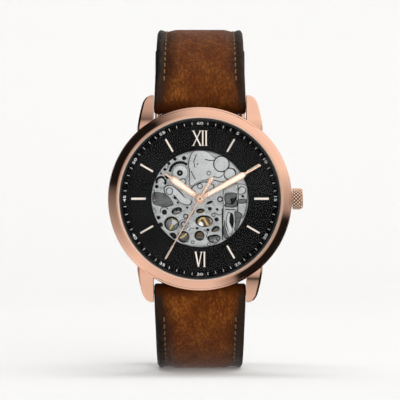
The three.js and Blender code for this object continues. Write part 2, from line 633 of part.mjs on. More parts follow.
function buckle() {
  const place = { at: [0, ...BUCKLE_BAR_AT] };
  const inner = strapHalfWidth(BUCKLE_STRAP_LENGTH, Infinity) + 0.25;
  const outer = inner + 1.5;
  const quarter = Math.PI / 2;
  const frame = plate([
    [inner, 1.5], ...arc(inner - 1.5, -6.8, 1.5, 0, -quarter, 4),
    ...arc(1.5 - inner, -6.8, 1.5, -quarter, -2 * quarter, 4), [-inner, 1.5], [-outer, 1.5],
    ...arc(3 - outer, -7.2, 3, 2 * quarter, 3 * quarter, 6),
    ...arc(outer - 3, -7.2, 3, 3 * quarter, 4 * quarter, 6), [outer, 1.5],
  ], -0.9, 0.9);
  const barHoles = [rod(0.5, inner - 0.3, inner + 1.1), rod(0.5, -inner - 1.1, 0.3 - inner)];
  add('buckle_frame', ROSE_GOLD, cut(frame, ...barHoles), place);
  add('buckle_bar', STEEL, join(
    rod(0.7, 0.1 - inner, inner - 0.1),
    rod(0.4, -inner - 0.9, 0.2 - inner),
    rod(0.4, inner - 0.2, inner + 0.9),
  ), place);
  const tongue = join(
    rod(1.35, -1, 1),
    sideways([
      [1.3, 0.1], [2, -3.5], [2, -8], [1.8, -10.9], [1.05, -10.9], [1.1, -8], [1.1, -3.5], [0.2, -1.2],
    ], -1, 1),
  );
  add('buckle_tongue', ROSE_GOLD, cut(tongue, rod(0.85, -2, 2)), place);
}

// ---- The whole watch ----------------------------------------------------------------------

caseMiddle();
bezelAndCrystal();
caseBack();
dialAndMarkers();
hands();
goingTrain();
motionWorks();
escapement();
plates();
rotor();
crownAndStem();
springBar('spring_bar_12', 1);
springBar('spring_bar_6', -1);
buckleStrap();
tailStrap();
keeper('loose_keeper', 60, 4.4);
keeper('fixed_keeper', 69.5, 4.4);
buckle();

export default watch;
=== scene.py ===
"""Looks of a skeleton wristwatch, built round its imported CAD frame.

Lengths are in millimetres until a mesh is made.
"""

import json
import math

import bmesh
import bpy
from mathutils import Matrix, Vector

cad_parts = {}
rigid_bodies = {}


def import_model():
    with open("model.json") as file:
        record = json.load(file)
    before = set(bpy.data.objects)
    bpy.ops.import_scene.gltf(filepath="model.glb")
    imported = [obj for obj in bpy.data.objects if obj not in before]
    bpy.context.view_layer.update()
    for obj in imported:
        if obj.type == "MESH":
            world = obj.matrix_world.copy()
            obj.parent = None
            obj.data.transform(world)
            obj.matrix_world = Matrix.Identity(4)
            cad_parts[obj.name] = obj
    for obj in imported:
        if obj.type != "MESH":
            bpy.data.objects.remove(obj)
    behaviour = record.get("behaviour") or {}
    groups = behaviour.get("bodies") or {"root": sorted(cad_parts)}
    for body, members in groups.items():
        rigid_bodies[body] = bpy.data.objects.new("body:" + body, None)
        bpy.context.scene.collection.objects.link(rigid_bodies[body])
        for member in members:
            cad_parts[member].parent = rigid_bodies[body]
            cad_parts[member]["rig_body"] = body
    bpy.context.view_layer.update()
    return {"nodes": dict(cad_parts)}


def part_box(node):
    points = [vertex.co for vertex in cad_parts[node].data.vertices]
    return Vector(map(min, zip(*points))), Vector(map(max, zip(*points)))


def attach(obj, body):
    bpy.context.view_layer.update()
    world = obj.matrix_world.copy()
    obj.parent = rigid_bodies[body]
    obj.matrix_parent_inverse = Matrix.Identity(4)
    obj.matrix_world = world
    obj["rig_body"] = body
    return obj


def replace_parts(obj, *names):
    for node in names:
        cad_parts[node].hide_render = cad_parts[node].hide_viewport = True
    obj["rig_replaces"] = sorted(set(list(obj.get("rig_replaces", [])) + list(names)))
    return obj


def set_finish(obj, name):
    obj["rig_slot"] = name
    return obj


MM = 0.001
TAU = 2 * math.pi
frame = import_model()


# ---- Camera, light and floor ----------------------------------------------------------------

CAMERA_DISTANCE = 900
FRAME_WIDTH = 95.4  # width of the picture at the bezel, in millimetres
BEZEL_Y = -8.8
# Brightness of the studio round the watch, by clock angle in degrees.
STUDIO_STOPS = [
    (0, 0.92), (30, 1.0), (70, 1.0), (84, 0.62), (97, 0.38), (103, 0.012), (154, 0.012), (158, 0.38),
    (173, 0.85), (200, 0.8), (226, 0.92), (250, 0.48), (272, 0.2), (280, 0.012), (329, 0.012), (336, 0.25),
    (352, 0.75), (360, 0.92),
]
AHEAD, BEHIND, STUDIO_STRENGTH = 0.8, 0.9, 1.1  # brightness straight ahead of the dial and behind the case
FLOOR_BACK, FLOOR_CURVE, FLOOR_HALF, FLOOR_NEAR, WALL_HIGH = 0.9, 0.5, 3.0, -2.6, 3.2  # in metres
# Glow of the floor and wall by distance behind the watch, in metres.
GLOW_STOPS = [
    (-0.2, 0.045), (0, 0.115), (0.15, 0.15), (0.4, 0.21), (0.66, 0.25), (0.9, 0.295), (1.02, 0.325),
    (1.1, 0.35), (1.2, 0.37), (1.27, 0.375),
]
scene = bpy.context.scene


def add_camera():
    data = bpy.data.cameras.new("camera")
    data.sensor_width = 36
    data.lens = 36 * CAMERA_DISTANCE / FRAME_WIDTH
    data.clip_start, data.clip_end = 0.01, 50
    camera = bpy.data.objects.new("camera", data)
    scene.collection.objects.link(camera)
    camera.location = (0, (BEZEL_Y - CAMERA_DISTANCE) * MM, -0.3 * MM)
    camera.rotation_euler = (math.pi / 2, 0, 0)
    scene.camera = camera


def add_world():
    """A white studio with two dark flags, by clock angle seen along the case's axis."""
    world = bpy.data.worlds.new("studio")
    scene.world = world
    world.use_nodes = True
    tree = world.node_tree
    nodes, links = tree.nodes, tree.links
    background = nodes["Background"]
    coords = nodes.new("ShaderNodeTexCoord")
    split = nodes.new("ShaderNodeSeparateXYZ")
    links.new(coords.outputs["Generated"], split.inputs[0])

    def math_node(op, a, b=None):
        n = nodes.new("ShaderNodeMath")
        n.operation = op
        for i, v in enumerate((a, b)):
            if v is None:
                continue
            if isinstance(v, (int, float)):
                n.inputs[i].default_value = v
            else:
                links.new(v, n.inputs[i])
        return n.outputs[0]

    clock = math_node("ARCTAN2", split.outputs["X"], split.outputs["Z"])
    turn = math_node("FRACT", math_node("ADD", math_node("DIVIDE", clock, TAU), 1.0))
    ramp = nodes.new("ShaderNodeValToRGB")
    links.new(turn, ramp.inputs[0])
    elements = ramp.color_ramp.elements
    for i, (degrees, value) in enumerate(STUDIO_STOPS):
        e = elements[i] if i < 2 else elements.new(degrees / 360)
        e.position = degrees / 360
        e.color = (value, value, value, 1)
    # Near the case's axis the studio is dim, and behind the watch it is white.
    front = math_node("MULTIPLY", split.outputs["Y"], -1.0)
    side = nodes.new("ShaderNodeMapRange")
    side.inputs["From Min"].default_value = 0.985
    side.inputs["From Max"].default_value = 0.84
    links.new(front, side.inputs["Value"])
    rim = nodes.new("ShaderNodeMapRange")
    rim.inputs["From Min"].default_value = -0.95
    rim.inputs["From Max"].default_value = -0.8
    links.new(front, rim.inputs["Value"])
    colour = ramp.outputs[0]
    for factor, value in ((rim.outputs[0], BEHIND), (side.outputs[0], AHEAD)):
        mix = nodes.new("ShaderNodeMix")
        mix.data_type = "RGBA"
        links.new(factor, mix.inputs["Factor"])
        mix.inputs["A"].default_value = (value, value, value, 1)
        links.new(colour, mix.inputs["B"])
        colour = mix.outputs["Result"]
    links.new(colour, background.inputs["Color"])
    background.inputs["Strength"].default_value = STUDIO_STRENGTH


def add_light(name, place, target, size, watts):
    """A soft area light that polished metal doesn't mirror."""
    data = bpy.data.lights.new(name, "AREA")
    data.size = size
    data.energy = watts
    light = bpy.data.objects.new(name, data)
    scene.collection.objects.link(light)
    light.location = place
    light.visible_glossy = False
    light.rotation_euler = (Vector(target) - Vector(place)).to_track_quat("-Z", "Y").to_euler()


def add_sun(name, direction, angle, strength):
    """A large soft light far overhead, which falls evenly on the floor and the wall."""
    data = bpy.data.lights.new(name, "SUN")
    data.angle = math.radians(angle)
    data.energy = strength
    light = bpy.data.objects.new(name, data)
    scene.collection.objects.link(light)
    light.visible_glossy = False
    light.rotation_euler = Vector(direction).to_track_quat("-Z", "Y").to_euler()


def add_floor(material):
    """A sweep that is a floor under the watch and a wall behind it."""
    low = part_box("strap_6")[0].z
    line = [(FLOOR_NEAR, low), (FLOOR_BACK, low)]
    for i in range(1, 17):
        a = math.pi / 2 * i / 16
        line.append((FLOOR_BACK + FLOOR_CURVE * math.sin(a), low + FLOOR_CURVE * (1 - math.cos(a))))
    line.append((FLOOR_BACK + FLOOR_CURVE, low + WALL_HIGH))
    verts = [(x, y, z) for y, z in line for x in (-FLOOR_HALF, FLOOR_HALF)]
    faces = [(2 * i, 2 * i + 1, 2 * i + 3, 2 * i + 2) for i in range(len(line) - 1)]
    mesh = bpy.data.meshes.new("floor")
    mesh.from_pydata(verts, [], faces)
    mesh.shade_smooth()
    mesh.materials.append(material)
    floor = bpy.data.objects.new("floor", mesh)
    scene.collection.objects.link(floor)
    floor.visible_glossy = False


# ---- Materials ------------------------------------------------------------------------------


class Look:
    """A Principled material and short ways to add nodes to it."""

    def __init__(self, name, color, roughness, metallic=0.0, **sockets):
        self.material = bpy.data.materials.new(name)
        self.material.use_nodes = True
        self.tree = self.material.node_tree
        self.shader = self.tree.nodes["Principled BSDF"]
        self.color = (*color, 1)
        self.set("Base Color", self.color)
        self.set("Roughness", roughness)
        self.set("Metallic", metallic)
        for key, value in sockets.items():
            self.set(key.replace("_", " "), value)
        self.coords = self.node("ShaderNodeTexCoord").outputs["Object"]
        self.normal = None

    def set(self, name, value):
        self.shader.inputs[name].default_value = value

    def node(self, kind, **values):
        n = self.tree.nodes.new(kind)
        for key, value in values.items():
            if hasattr(n, key):
                setattr(n, key, value)
            else:
                n.inputs[key.replace("_", " ")].default_value = value
        return n

    def link(self, a, b):
        self.tree.links.new(a, b)

    def stretched(self, scale, source=None):
        n = self.node("ShaderNodeMapping", Scale=scale)
        self.link(source or self.coords, n.inputs["Vector"])
        return n.outputs[0]

    def noise(self, scale, detail=4.0, rough=0.55, stretch=None, source=None):
        n = self.node("ShaderNodeTexNoise", Scale=scale, Detail=detail, Roughness=rough)
        vector = self.stretched(stretch, source) if stretch else (source or self.coords)
        self.link(vector, n.inputs["Vector"])
        return n.outputs["Fac"]

    def cells(self, scale, stretch=None, feature="F1"):
        n = self.node("ShaderNodeTexVoronoi", feature=feature, Scale=scale)
        self.link(self.stretched(stretch) if stretch else self.coords, n.inputs["Vector"])
        return n.outputs["Distance"]

    def mapped(self, value, low, high, to_low, to_high):
        n = self.node("ShaderNodeMapRange")
        for key, v in zip(("From Min", "From Max", "To Min", "To Max"), (low, high, to_low, to_high)):
            n.inputs[key].default_value = v
        self.link(value, n.inputs["Value"])
        return n.outputs[0]

    def math(self, op, a, b):
        n = self.node("ShaderNodeMath", operation=op)
        for i, v in enumerate((a, b)):
            if isinstance(v, (int, float)):
                n.inputs[i].default_value = v
            else:
                self.link(v, n.inputs[i])
        return n.outputs[0]

    def blend(self, factor, a, b):
        n = self.node("ShaderNodeMix", data_type="RGBA")
        self.link(factor, n.inputs["Factor"])
        for key, v in (("A", a), ("B", b)):
            if isinstance(v, tuple):
                n.inputs[key].default_value = (*v[:3], 1)
            else:
                self.link(v, n.inputs[key])
        return n.outputs["Result"]

    def paint(self, value):
        self.link(value, self.shader.inputs["Base Color"])

    def rough(self, value):
        self.link(value, self.shader.inputs["Roughness"])

    def bump(self, height, distance, strength=1.0):
        n = self.node("ShaderNodeBump", Strength=strength, Distance=distance * MM)
        self.link(height, n.inputs["Height"])
        if self.normal:
            self.link(self.normal, n.inputs["Normal"])
        self.normal = n.outputs[0]
        self.link(self.normal, self.shader.inputs["Normal"])


def metal(
    name, color, roughness, grain=9000, brushed=None, relief=0.0006, mottled=0.06, broad=180, metallic=1.0
):
    """Metal with faint handling marks; brushed gives the stretch of its lines."""
    look = Look(name, color, roughness, metallic)
    fine = look.noise(grain, 3, 0.6, brushed)
    mixed = look.math(
        "ADD", look.math("MULTIPLY", fine, 0.6), look.math("MULTIPLY", look.noise(broad, 3, 0.5), 0.4)
    )
    look.rough(look.mapped(mixed, 0.3, 0.7, roughness * 0.8, roughness * 1.25))
    dark = tuple(c * (1 - mottled) for c in color)
    light = tuple(min(1, c * (1 + mottled * 0.6)) for c in color)
    look.paint(look.blend(look.mapped(mixed, 0.3, 0.7, 0, 1), dark, light))
    if relief:
        look.bump(fine, relief)
    return look.material


def leather(name, tone):
    """Pull-up leather: brown in the middle, burnished dark towards the stitched edges."""
    centre = (0.122 * tone, 0.0285 * tone, 0.003 * tone)
    golden = (0.19 * tone, 0.062 * tone, 0.01 * tone)
    burnt, edge, rim = (0.022, 0.0065, 0.0016), (0.02, 0.012, 0.008), (0.005, 0.004, 0.0035)
    look = Look(name, centre, 0.5, 0.0, Specular_IOR_Level=0.06)
    uv = look.node("ShaderNodeUVMap", uv_map="across").outputs[0]
    split = look.node("ShaderNodeSeparateXYZ")
    look.link(uv, split.inputs[0])
    across, along = look.math("ABSOLUTE", split.outputs["X"], 0), split.outputs["Y"]
    dark = tuple(c * 0.42 for c in centre)
    streaks = look.noise(5, 7, 0.68, (1.5, 0.9, 1.0), uv)
    clouds = look.noise(1.6, 4, 0.55, (1.0, 0.8, 1.0), uv)
    creases = look.noise(650, 5, 0.65, (1.0, 0.35, 0.35))
    strokes = look.noise(2300, 2, 0.7, (1.0, 0.4, 0.4))
    grain = look.cells(2100, (1, 1, 0.7))
    crackle = look.mapped(look.cells(620, (1, 0.5, 0.5), "DISTANCE_TO_EDGE"), 0.0, 0.09, 1, 0)
    crackle = look.math("MULTIPLY", crackle, look.mapped(streaks, 0.4, 0.6, 0.15, 1))
    fine = look.noise(5200, 3, 0.6)
    base = look.blend(look.mapped(streaks, 0.34, 0.6, 0.1, 1), dark, centre)
    base = look.blend(look.mapped(clouds, 0.42, 0.62, 0, 0.7), base, golden)
    # Where the strokes, creases, cracks and pores sink in the bumps below, the colour is darker: painted
    # shade in those hollows. The golden tone on the raised strokes is painted highlight.
    base = look.blend(look.mapped(strokes, 0.44, 0.56, 0.6, 0), base, dark)
    base = look.blend(look.mapped(strokes, 0.56, 0.68, 0, 0.6), base, golden)
    base = look.blend(look.mapped(creases, 0.5, 0.68, 0, 0.6), base, dark)
    base = look.blend(look.mapped(grain, 0.0, 0.3, 0.4, 0.0), base, dark)
    base = look.blend(look.math("MULTIPLY", crackle, 0.6), base, dark)
    # The dark edge reaches further in on the left side than on the right: painted shade, as the light falls
    # from the right.
    lean = look.math("MULTIPLY", split.outputs["X"], -0.06)
    reach = look.math("ADD", look.math("ADD", across, lean), look.mapped(streaks, 0.3, 0.7, -0.05, 0.05))
    reach = look.math("ADD", reach, look.mapped(along, 0.0, 0.9, -0.14, 0))
    base = look.blend(look.mapped(reach, 0.5, 0.78, 0, 0.88), base, burnt)
    base = look.blend(look.mapped(across, 0.8, 0.87, 0, 0.9), base, edge)
    base = look.blend(look.mapped(reach, 0.92, 0.99, 0, 1), base, rim)
    # A dark line along the stitch channel, where the stitches run: painted shade in the channel and its
    # stitch holes.
    sewn_shade = look.math("ABSOLUTE", look.math("SUBTRACT", across, 0.8), 0)
    sewn_shade = look.math(
        "MULTIPLY", look.mapped(sewn_shade, 0.01, 0.03, 0.85, 0), look.mapped(along, 0.5, 0.66, 0, 1)
    )
    base = look.blend(sewn_shade, base, rim)
    # At the end round the spring bar the leather turns much darker: painted shade where the strap goes in
    # between the lugs.
    nose_shade = look.math("ADD", along, look.mapped(clouds, 0.3, 0.7, -0.1, 0.1))
    base = look.blend(look.mapped(nose_shade, -0.15, 0.12, 0.85, 0), base, tuple(c * 0.22 for c in centre))
    look.paint(base)
    look.rough(look.mapped(streaks, 0.3, 0.7, 0.45, 0.62))
    look.bump(look.mapped(creases, 0.35, 0.7, 1, 0), 0.16, 0.8)
    look.bump(look.mapped(strokes, 0.4, 0.6, 0, 1), 0.06, 0.7)
    look.bump(look.mapped(crackle, 0, 1, 1, 0), 0.07, 0.8)
    look.bump(look.mapped(grain, 0.0, 0.4, 0, 1), 0.04, 0.7)
    look.bump(fine, 0.012, 0.8)
    return look.material


def crystal_glass(name):
    """Coated glass: clear straight on, with a faint mirror towards its edges."""
    look = Look(name, (1, 1, 1), 0.02)
    tree = look.tree
    clear = look.node("ShaderNodeBsdfTransparent", Color=(0.985, 0.99, 0.99, 1))
    mirror = look.node("ShaderNodeBsdfGlossy", Roughness=0.09)
    fresnel = look.node("ShaderNodeFresnel", IOR=1.13)
    smudge = look.mapped(look.noise(90, 3), 0.45, 0.75, 0.0, 0.006)
    mix = look.node("ShaderNodeMixShader")
    look.link(look.math("ADD", fresnel.outputs[0], smudge), mix.inputs["Fac"])
    look.link(clear.outputs[0], mix.inputs[1])
    look.link(mirror.outputs[0], mix.inputs[2])
    look.link(mix.outputs[0], tree.nodes["Material Output"].inputs["Surface"])
    tree.nodes.remove(look.shader)
    return look.material


def painted(name, color, roughness, relief=0.0008, grain=14000, mottled=0.12, **sockets):
    look = Look(name, color, roughness, 0.0, **sockets)
    fine = look.noise(grain, 3)
    look.paint(
        look.blend(look.mapped(fine, 0.3, 0.7, 0, 1), tuple(c * (1 - mottled) for c in color), color)
    )
    look.rough(look.mapped(look.noise(400, 3), 0.3, 0.7, roughness * 0.9, roughness * 1.12))
    if relief:
        look.bump(fine, relief)
    return look.material


def striped_metal(name, color, roughness, stripes):
    """Nickel with broad parallel stripes, as on a finished bridge."""
    look = Look(name, color, roughness, 1.0)
    wave = look.node("ShaderNodeTexWave", bands_direction="X", wave_profile="SAW", Scale=stripes)
    look.link(look.coords, wave.inputs["Vector"])
    fine = look.noise(8000, 3, 0.6, (1, 1, 0.08))
    tone = look.math(
        "ADD", look.math("MULTIPLY", wave.outputs["Fac"], 0.6), look.math("MULTIPLY", fine, 0.4)
    )
    look.paint(look.blend(look.mapped(tone, 0.1, 0.9, 0, 1), tuple(c * 0.72 for c in color), color))
    look.rough(look.mapped(tone, 0.1, 0.9, roughness * 1.25, roughness * 0.8))
    look.bump(wave.outputs["Fac"], 0.01)
    look.bump(fine, 0.001)
    return look.material


def floor_paint(name):
    """White board that glows a little, more so on the wall behind than on the floor."""
    look = Look(
        name, (0.65, 0.647, 0.64), 0.8, Specular_IOR_Level=0.0, Emission_Color=(1.0, 0.99, 0.975, 1)
    )
    split = look.node("ShaderNodeSeparateXYZ")
    look.link(look.coords, split.inputs[0])
    near, far = GLOW_STOPS[0][0], GLOW_STOPS[-1][0]
    glow = look.node("ShaderNodeValToRGB")
    look.link(look.mapped(split.outputs["Y"], near, far, 0, 1), glow.inputs[0])
    for i, (place, value) in enumerate(GLOW_STOPS):
        at = (place - near) / (far - near)
        stop = glow.color_ramp.elements[i] if i < 2 else glow.color_ramp.elements.new(at)
        stop.position = at
        stop.color = (value, value, value, 1)
    glow = glow.outputs[0]
    faint = look.math("MULTIPLY", glow, look.mapped(look.noise(8, 2), 0.3, 0.7, 0.995, 1.005))
    look.link(faint, look.shader.inputs["Emission Strength"])
    return look.material


ROSE = (0.86, 0.50, 0.355)
LOOKS = {
    "rose": metal("rose_gold_polished", ROSE, 0.075, relief=0.0001, mottled=0.02),
    # A paler, half-metal rose gold for the bezel's inner edge: painted highlight.
    "rose_edge_highlight": metal(
        "rose_gold_edge_highlight", (0.98, 0.72, 0.58), 0.3, relief=0.0002, mottled=0.02, metallic=0.45
    ),
    # A dark rose gold for the knurl's grooves: painted shade.
    "rose_groove_shade": metal("rose_gold_groove_shade", (0.12, 0.05, 0.03), 0.5, 9000, None, 0.001, 0.2, metallic=0.3),
    "rose_satin": metal("rose_gold_satin", (1.0, 0.74, 0.58), 0.35, 12000, (1, 0.1, 1), metallic=0.8),
    # Near-white, part-metal rose gold for the applied markers and numerals: painted reflection of the white
    # studio in their polished faces.
    "applied": painted("rose_gold_pale_reflection", (1.0, 0.87, 0.77), 0.35, 0.0002, 9000, 0.04, Metallic=0.3),
    # The hands' rose gold is paler and less metallic than the case's: painted reflection that keeps them
    # bright.
    "rose_hand": metal(
        "rose_gold_hands_lightened", (0.98, 0.66, 0.5), 0.24, relief=0.0002, mottled=0.03, metallic=0.75
    ),
    "steel": metal("steel_polished", (0.62, 0.62, 0.63), 0.18, relief=0.0003),
    "brushed": metal("steel_brushed", (0.55, 0.55, 0.56), 0.3, 16000, (1, 1, 0.03), 0.0015),
    "dark_steel": metal("steel_dark", (0.2, 0.2, 0.2), 0.34, 3800, (0.12, 1, 1), 0.012, 0.55, 900),
    "nickel": metal("nickel_satin", (0.97, 0.97, 0.96), 0.42, 2200, None, 0.05, 0.55, 900),
    "nickel_bright": metal("nickel_bright", (1.0, 1.0, 0.99), 0.38, 2600, None, 0.02, 0.35, 900),
    "striped": striped_metal("nickel_striped", (0.72, 0.71, 0.69), 0.3, 330),
    # Flat black that paints shade: steps round parts, the recesses, seams and rings round screws.
    "gap": painted("painted_shade_black", (0.006, 0.006, 0.006), 0.6, 0.0004, 9000, 0.3, Specular_IOR_Level=0.15),
    "gilt": metal("gilt_brass", (0.80, 0.60, 0.26), 0.24, 14000, None, 0.0008, 0.12),
    "gold_screw": metal("gilt_screw", (0.86, 0.66, 0.32), 0.18, relief=0.0003),
    "ruby": painted("ruby", (0.42, 0.012, 0.05), 0.08, 0.0, 5000, 0.3),
    "dial": painted(
        "dial_black", (0.0042, 0.0042, 0.0043), 0.5, 0.0006, 20000, 0.2, Specular_IOR_Level=0.03
    ),
    "chapter": painted(
        "chapter_black", (0.002, 0.002, 0.0022), 0.25, 0.0004, 16000, 0.3, Specular_IOR_Level=0.2
    ),
    "print": painted("white_print", (0.95, 0.95, 0.93), 0.5, 0.0, 9000, 0.03),
    "lume": painted("lume_cream", (0.93, 0.84, 0.7), 0.55, 0.002, 16000, 0.05),
    "rubber": painted("rubber_black", (0.012, 0.012, 0.012), 0.65),
    "holder": painted("holder_grey", (0.24, 0.24, 0.25), 0.5), "glass": crystal_glass("crystal_glass"),
    # The tail strap, which hangs below the case, gets a copy of the leather 1.32 times lighter: painted light
    # where less light falls.
    "leather": leather("leather_brown", 1.0), "leather_tail_lightened": leather("leather_brown_tail_lightened", 1.32),
    "lining": painted("leather_lining", (0.2, 0.115, 0.06), 0.62, 0.01, 3500, 0.35),
    "edge": painted("edge_paint", (0.008, 0.006, 0.005), 0.45, 0.006, 3000, 0.3, Specular_IOR_Level=0.2),
    "thread": painted("thread_brown", (0.21, 0.12, 0.06), 0.7, 0.01, 16000, 0.45, Specular_IOR_Level=0.1),
    "floor": floor_paint("floor_white"),
}


# ---- Mesh helpers ---------------------------------------------------------------------------


def make(name, verts, faces, look, body, replaces=(), slot=None, matrix=None, sharp=32):
    """A new piece from points in millimetres, in the watch's frame or in a local frame that matrix places."""
    mesh = bpy.data.meshes.new(name)
    mesh.from_pydata([Vector(v) * MM for v in verts], [], faces)
    return finish_piece(name, mesh, look, body, replaces, slot, matrix, sharp)


def finish_piece(name, mesh, look, body, replaces=(), slot=None, matrix=None, sharp=32):
    bm = bmesh.new()
    bm.from_mesh(mesh)
    bmesh.ops.remove_doubles(bm, verts=bm.verts, dist=1e-7)
    bmesh.ops.recalc_face_normals(bm, faces=bm.faces)
    bm.to_mesh(mesh)
    bm.free()
    if matrix is not None:
        scaled = matrix.copy()
        scaled.translation *= MM
        mesh.transform(scaled)
    mesh.shade_smooth()
    mesh.set_sharp_from_angle(angle=math.radians(sharp))
    for key in look if isinstance(look, (list, tuple)) else [look]:
        mesh.materials.append(LOOKS[key])
    obj = bpy.data.objects.new(name, mesh)
    scene.collection.objects.link(obj)
    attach(obj, body)
    if replaces:
        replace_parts(obj, *([replaces] if isinstance(replaces, str) else replaces))
    if slot:
        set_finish(obj, slot)
    return obj


def rounded(obj, width, segments=3, angle=28):
    """Rounds the piece's sharp edges."""
    m = obj.modifiers.new("edges", "BEVEL")
    m.width = width * MM
    m.segments = segments
    m.limit_method = "ANGLE"
    m.angle_limit = math.radians(angle)
    m.harden_normals = True
    return obj


def lathe(outline, steps=120):
    """(verts, faces) of an outline of (radius, y) points turned about the Y axis."""
    verts = [
        (r * math.cos(TAU * i / steps), y, r * math.sin(TAU * i / steps)) for i in range(steps) for r,
        y in outline
    ]
    n = len(outline)
    faces = []
    for i in range(steps):
        a, b = i * n, (i + 1) % steps * n
        for j in range(n):
            k = (j + 1) % n
            faces.append((a + j, a + k, b + k, b + j))
    return verts, faces


def turned(name, outline, look, body, replaces=(), slot=None, at=(0, 0), steps=120, matrix=None, sharp=32):
    verts, faces = lathe(outline, steps)
    place = matrix or Matrix.Translation((at[0], 0, at[1]))
    return make(name, verts, faces, look, body, replaces, slot, place, sharp)


def flat_mesh(outlines, thickness, bevel, resolution=1):
    """A filled plate in the XY plane, about z = 0, with its edges bevelled. Inner outlines are holes."""
    curve = bpy.data.curves.new("plate", "CURVE")
    curve.dimensions = "2D"
    curve.fill_mode = "BOTH"
    for outline in outlines:
        spline = curve.splines.new("POLY")
        spline.points.add(len(outline) - 1)
        for point, (x, y) in zip(spline.points, outline):
            point.co = (x * MM, y * MM, 0, 1)
        spline.use_cyclic_u = True
    curve.extrude = (thickness / 2 - bevel) * MM
    curve.bevel_depth = bevel * MM
    curve.bevel_resolution = resolution
    curve.offset = -bevel * MM
    obj = bpy.data.objects.new("plate", curve)
    scene.collection.objects.link(obj)
    evaluated = obj.evaluated_get(bpy.context.evaluated_depsgraph_get())
    mesh = bpy.data.meshes.new_from_object(evaluated)
    bpy.data.objects.remove(obj)
    bpy.data.curves.remove(curve)
    return mesh


UPRIGHT = Matrix.Rotation(math.pi / 2, 4, "X")  # takes (x, y) in a plate to (x, z) on the dial


def plate(
    name, outlines, front, back, look, body, replaces=(), slot=None, at=(0, 0), turn=0, bevel=0.04,
    resolution=1
):
    """A plate in the dial's plane between two levels, turned clockwise by degrees about its own place."""
    mesh = flat_mesh(outlines, back - front, bevel, resolution)
    place = Matrix.Translation(
        (at[0], (front + back) / 2, at[1])
    ) @ Matrix.Rotation(math.radians(turn), 4, "Y") @ UPRIGHT
    return finish_piece(name, mesh, look, body, replaces, slot, place)


def joined(name, pieces):
    """Several pieces on one body as one object, keeping the first one's links to the CAD."""
    first = pieces[0]
    nodes = sorted({n for p in pieces for n in p.get("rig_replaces", [])})
    bm = bmesh.new()
    materials = []
    for p in pieces:
        evaluated = p.evaluated_get(bpy.context.evaluated_depsgraph_get())
        mesh = bpy.data.meshes.new_from_object(evaluated)
        offset = []
        for m in p.data.materials:
            if m not in materials:
                materials.append(m)
            offset.append(materials.index(m))
        start = len(bm.faces)
        bm.from_mesh(mesh)
        bm.faces.ensure_lookup_table()
        for face in bm.faces[start:]:
            face.material_index = offset[min(face.material_index, len(offset) - 1)]
        bpy.data.meshes.remove(mesh)
    merged = bpy.data.meshes.new(name)
    bm.to_mesh(merged)
    bm.free()
    for m in materials:
        merged.materials.append(m)
    body, slot = first["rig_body"], first.get("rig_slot")
    for p in pieces:
        bpy.data.objects.remove(p)
    obj = bpy.data.objects.new(name, merged)
    scene.collection.objects.link(obj)
    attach(obj, body)
    if nodes:
        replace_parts(obj, *nodes)
    if slot:
        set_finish(obj, slot)
    return obj


def circle(x, y, radius, steps=48, from_degrees=0, to_degrees=360):
    full = to_degrees - from_degrees >= 360
    count = steps if full else steps + 1
    return [
        (
            x + radius * math.cos(math.radians(from_degrees + (to_degrees - from_degrees) * i / steps)),
            y + radius * math.sin(math.radians(from_degrees + (to_degrees - from_degrees) * i / steps)),
        )
        for i in range(count)
    ]


def oval(x, y, rx, ry, degrees=0, steps=40):
    c, s = math.cos(math.radians(degrees)), math.sin(math.radians(degrees))
    points = circle(0, 0, 1, steps)
    return [(x + rx * u * c - ry * v * s, y + rx * u * s + ry * v * c) for u, v in points]


def swung(points, a):
    """The points turned about the origin by an angle in radians."""
    c, s = math.cos(a), math.sin(a)
    return [(x * c - y * s, x * s + y * c) for x, y in points]


def gear(teeth, root, tip, slant=0.0):
    """A toothed outline; slant leans the teeth, as on an escape wheel."""
    points = []
    for i in range(teeth):
        a = TAU * i / teeth
        step = TAU / teeth
        for share, r in ((0.0, root), (0.28, root), (0.38 + slant, tip), (0.62 + slant, tip), (0.72, root)):
            points.append((r * math.cos(a + step * share), r * math.sin(a + step * share)))
    return points


def windows(hub, rim, arms, arm_width, steps=14, from_degrees=0):
    """The openings between a wheel's arms."""
    out = []
    for i in range(arms):
        start = math.radians(from_degrees) + TAU * i / arms
        end = start + TAU / arms
        far, near = arm_width / 2 / rim, arm_width / 2 / hub
        ring = [(rim, start + far + (end - start - 2 * far) * k / steps) for k in range(steps + 1)]
        ring += [(hub, end - near - (end - start - 2 * near) * k / 5) for k in range(6)]
        out.append([(r * math.cos(a), r * math.sin(a)) for r, a in ring])
    return out


# ---- Case -----------------------------------------------------------------------------------

LUG_X = 11.05
CHAMBER_R = 19.2
BAR_Y, BAR_Z = -3.2, 22.4


def ramp(points, x):
    """Straight-line interpolation through (x, value) points."""
    for (x0, v0), (x1, v1) in zip(points, points[1:]):
        if x <= x1:
            share = min(1, max(0, (x - x0) / (x1 - x0)))
            return v0 + (v1 - v0) * share
    return points[-1][1]


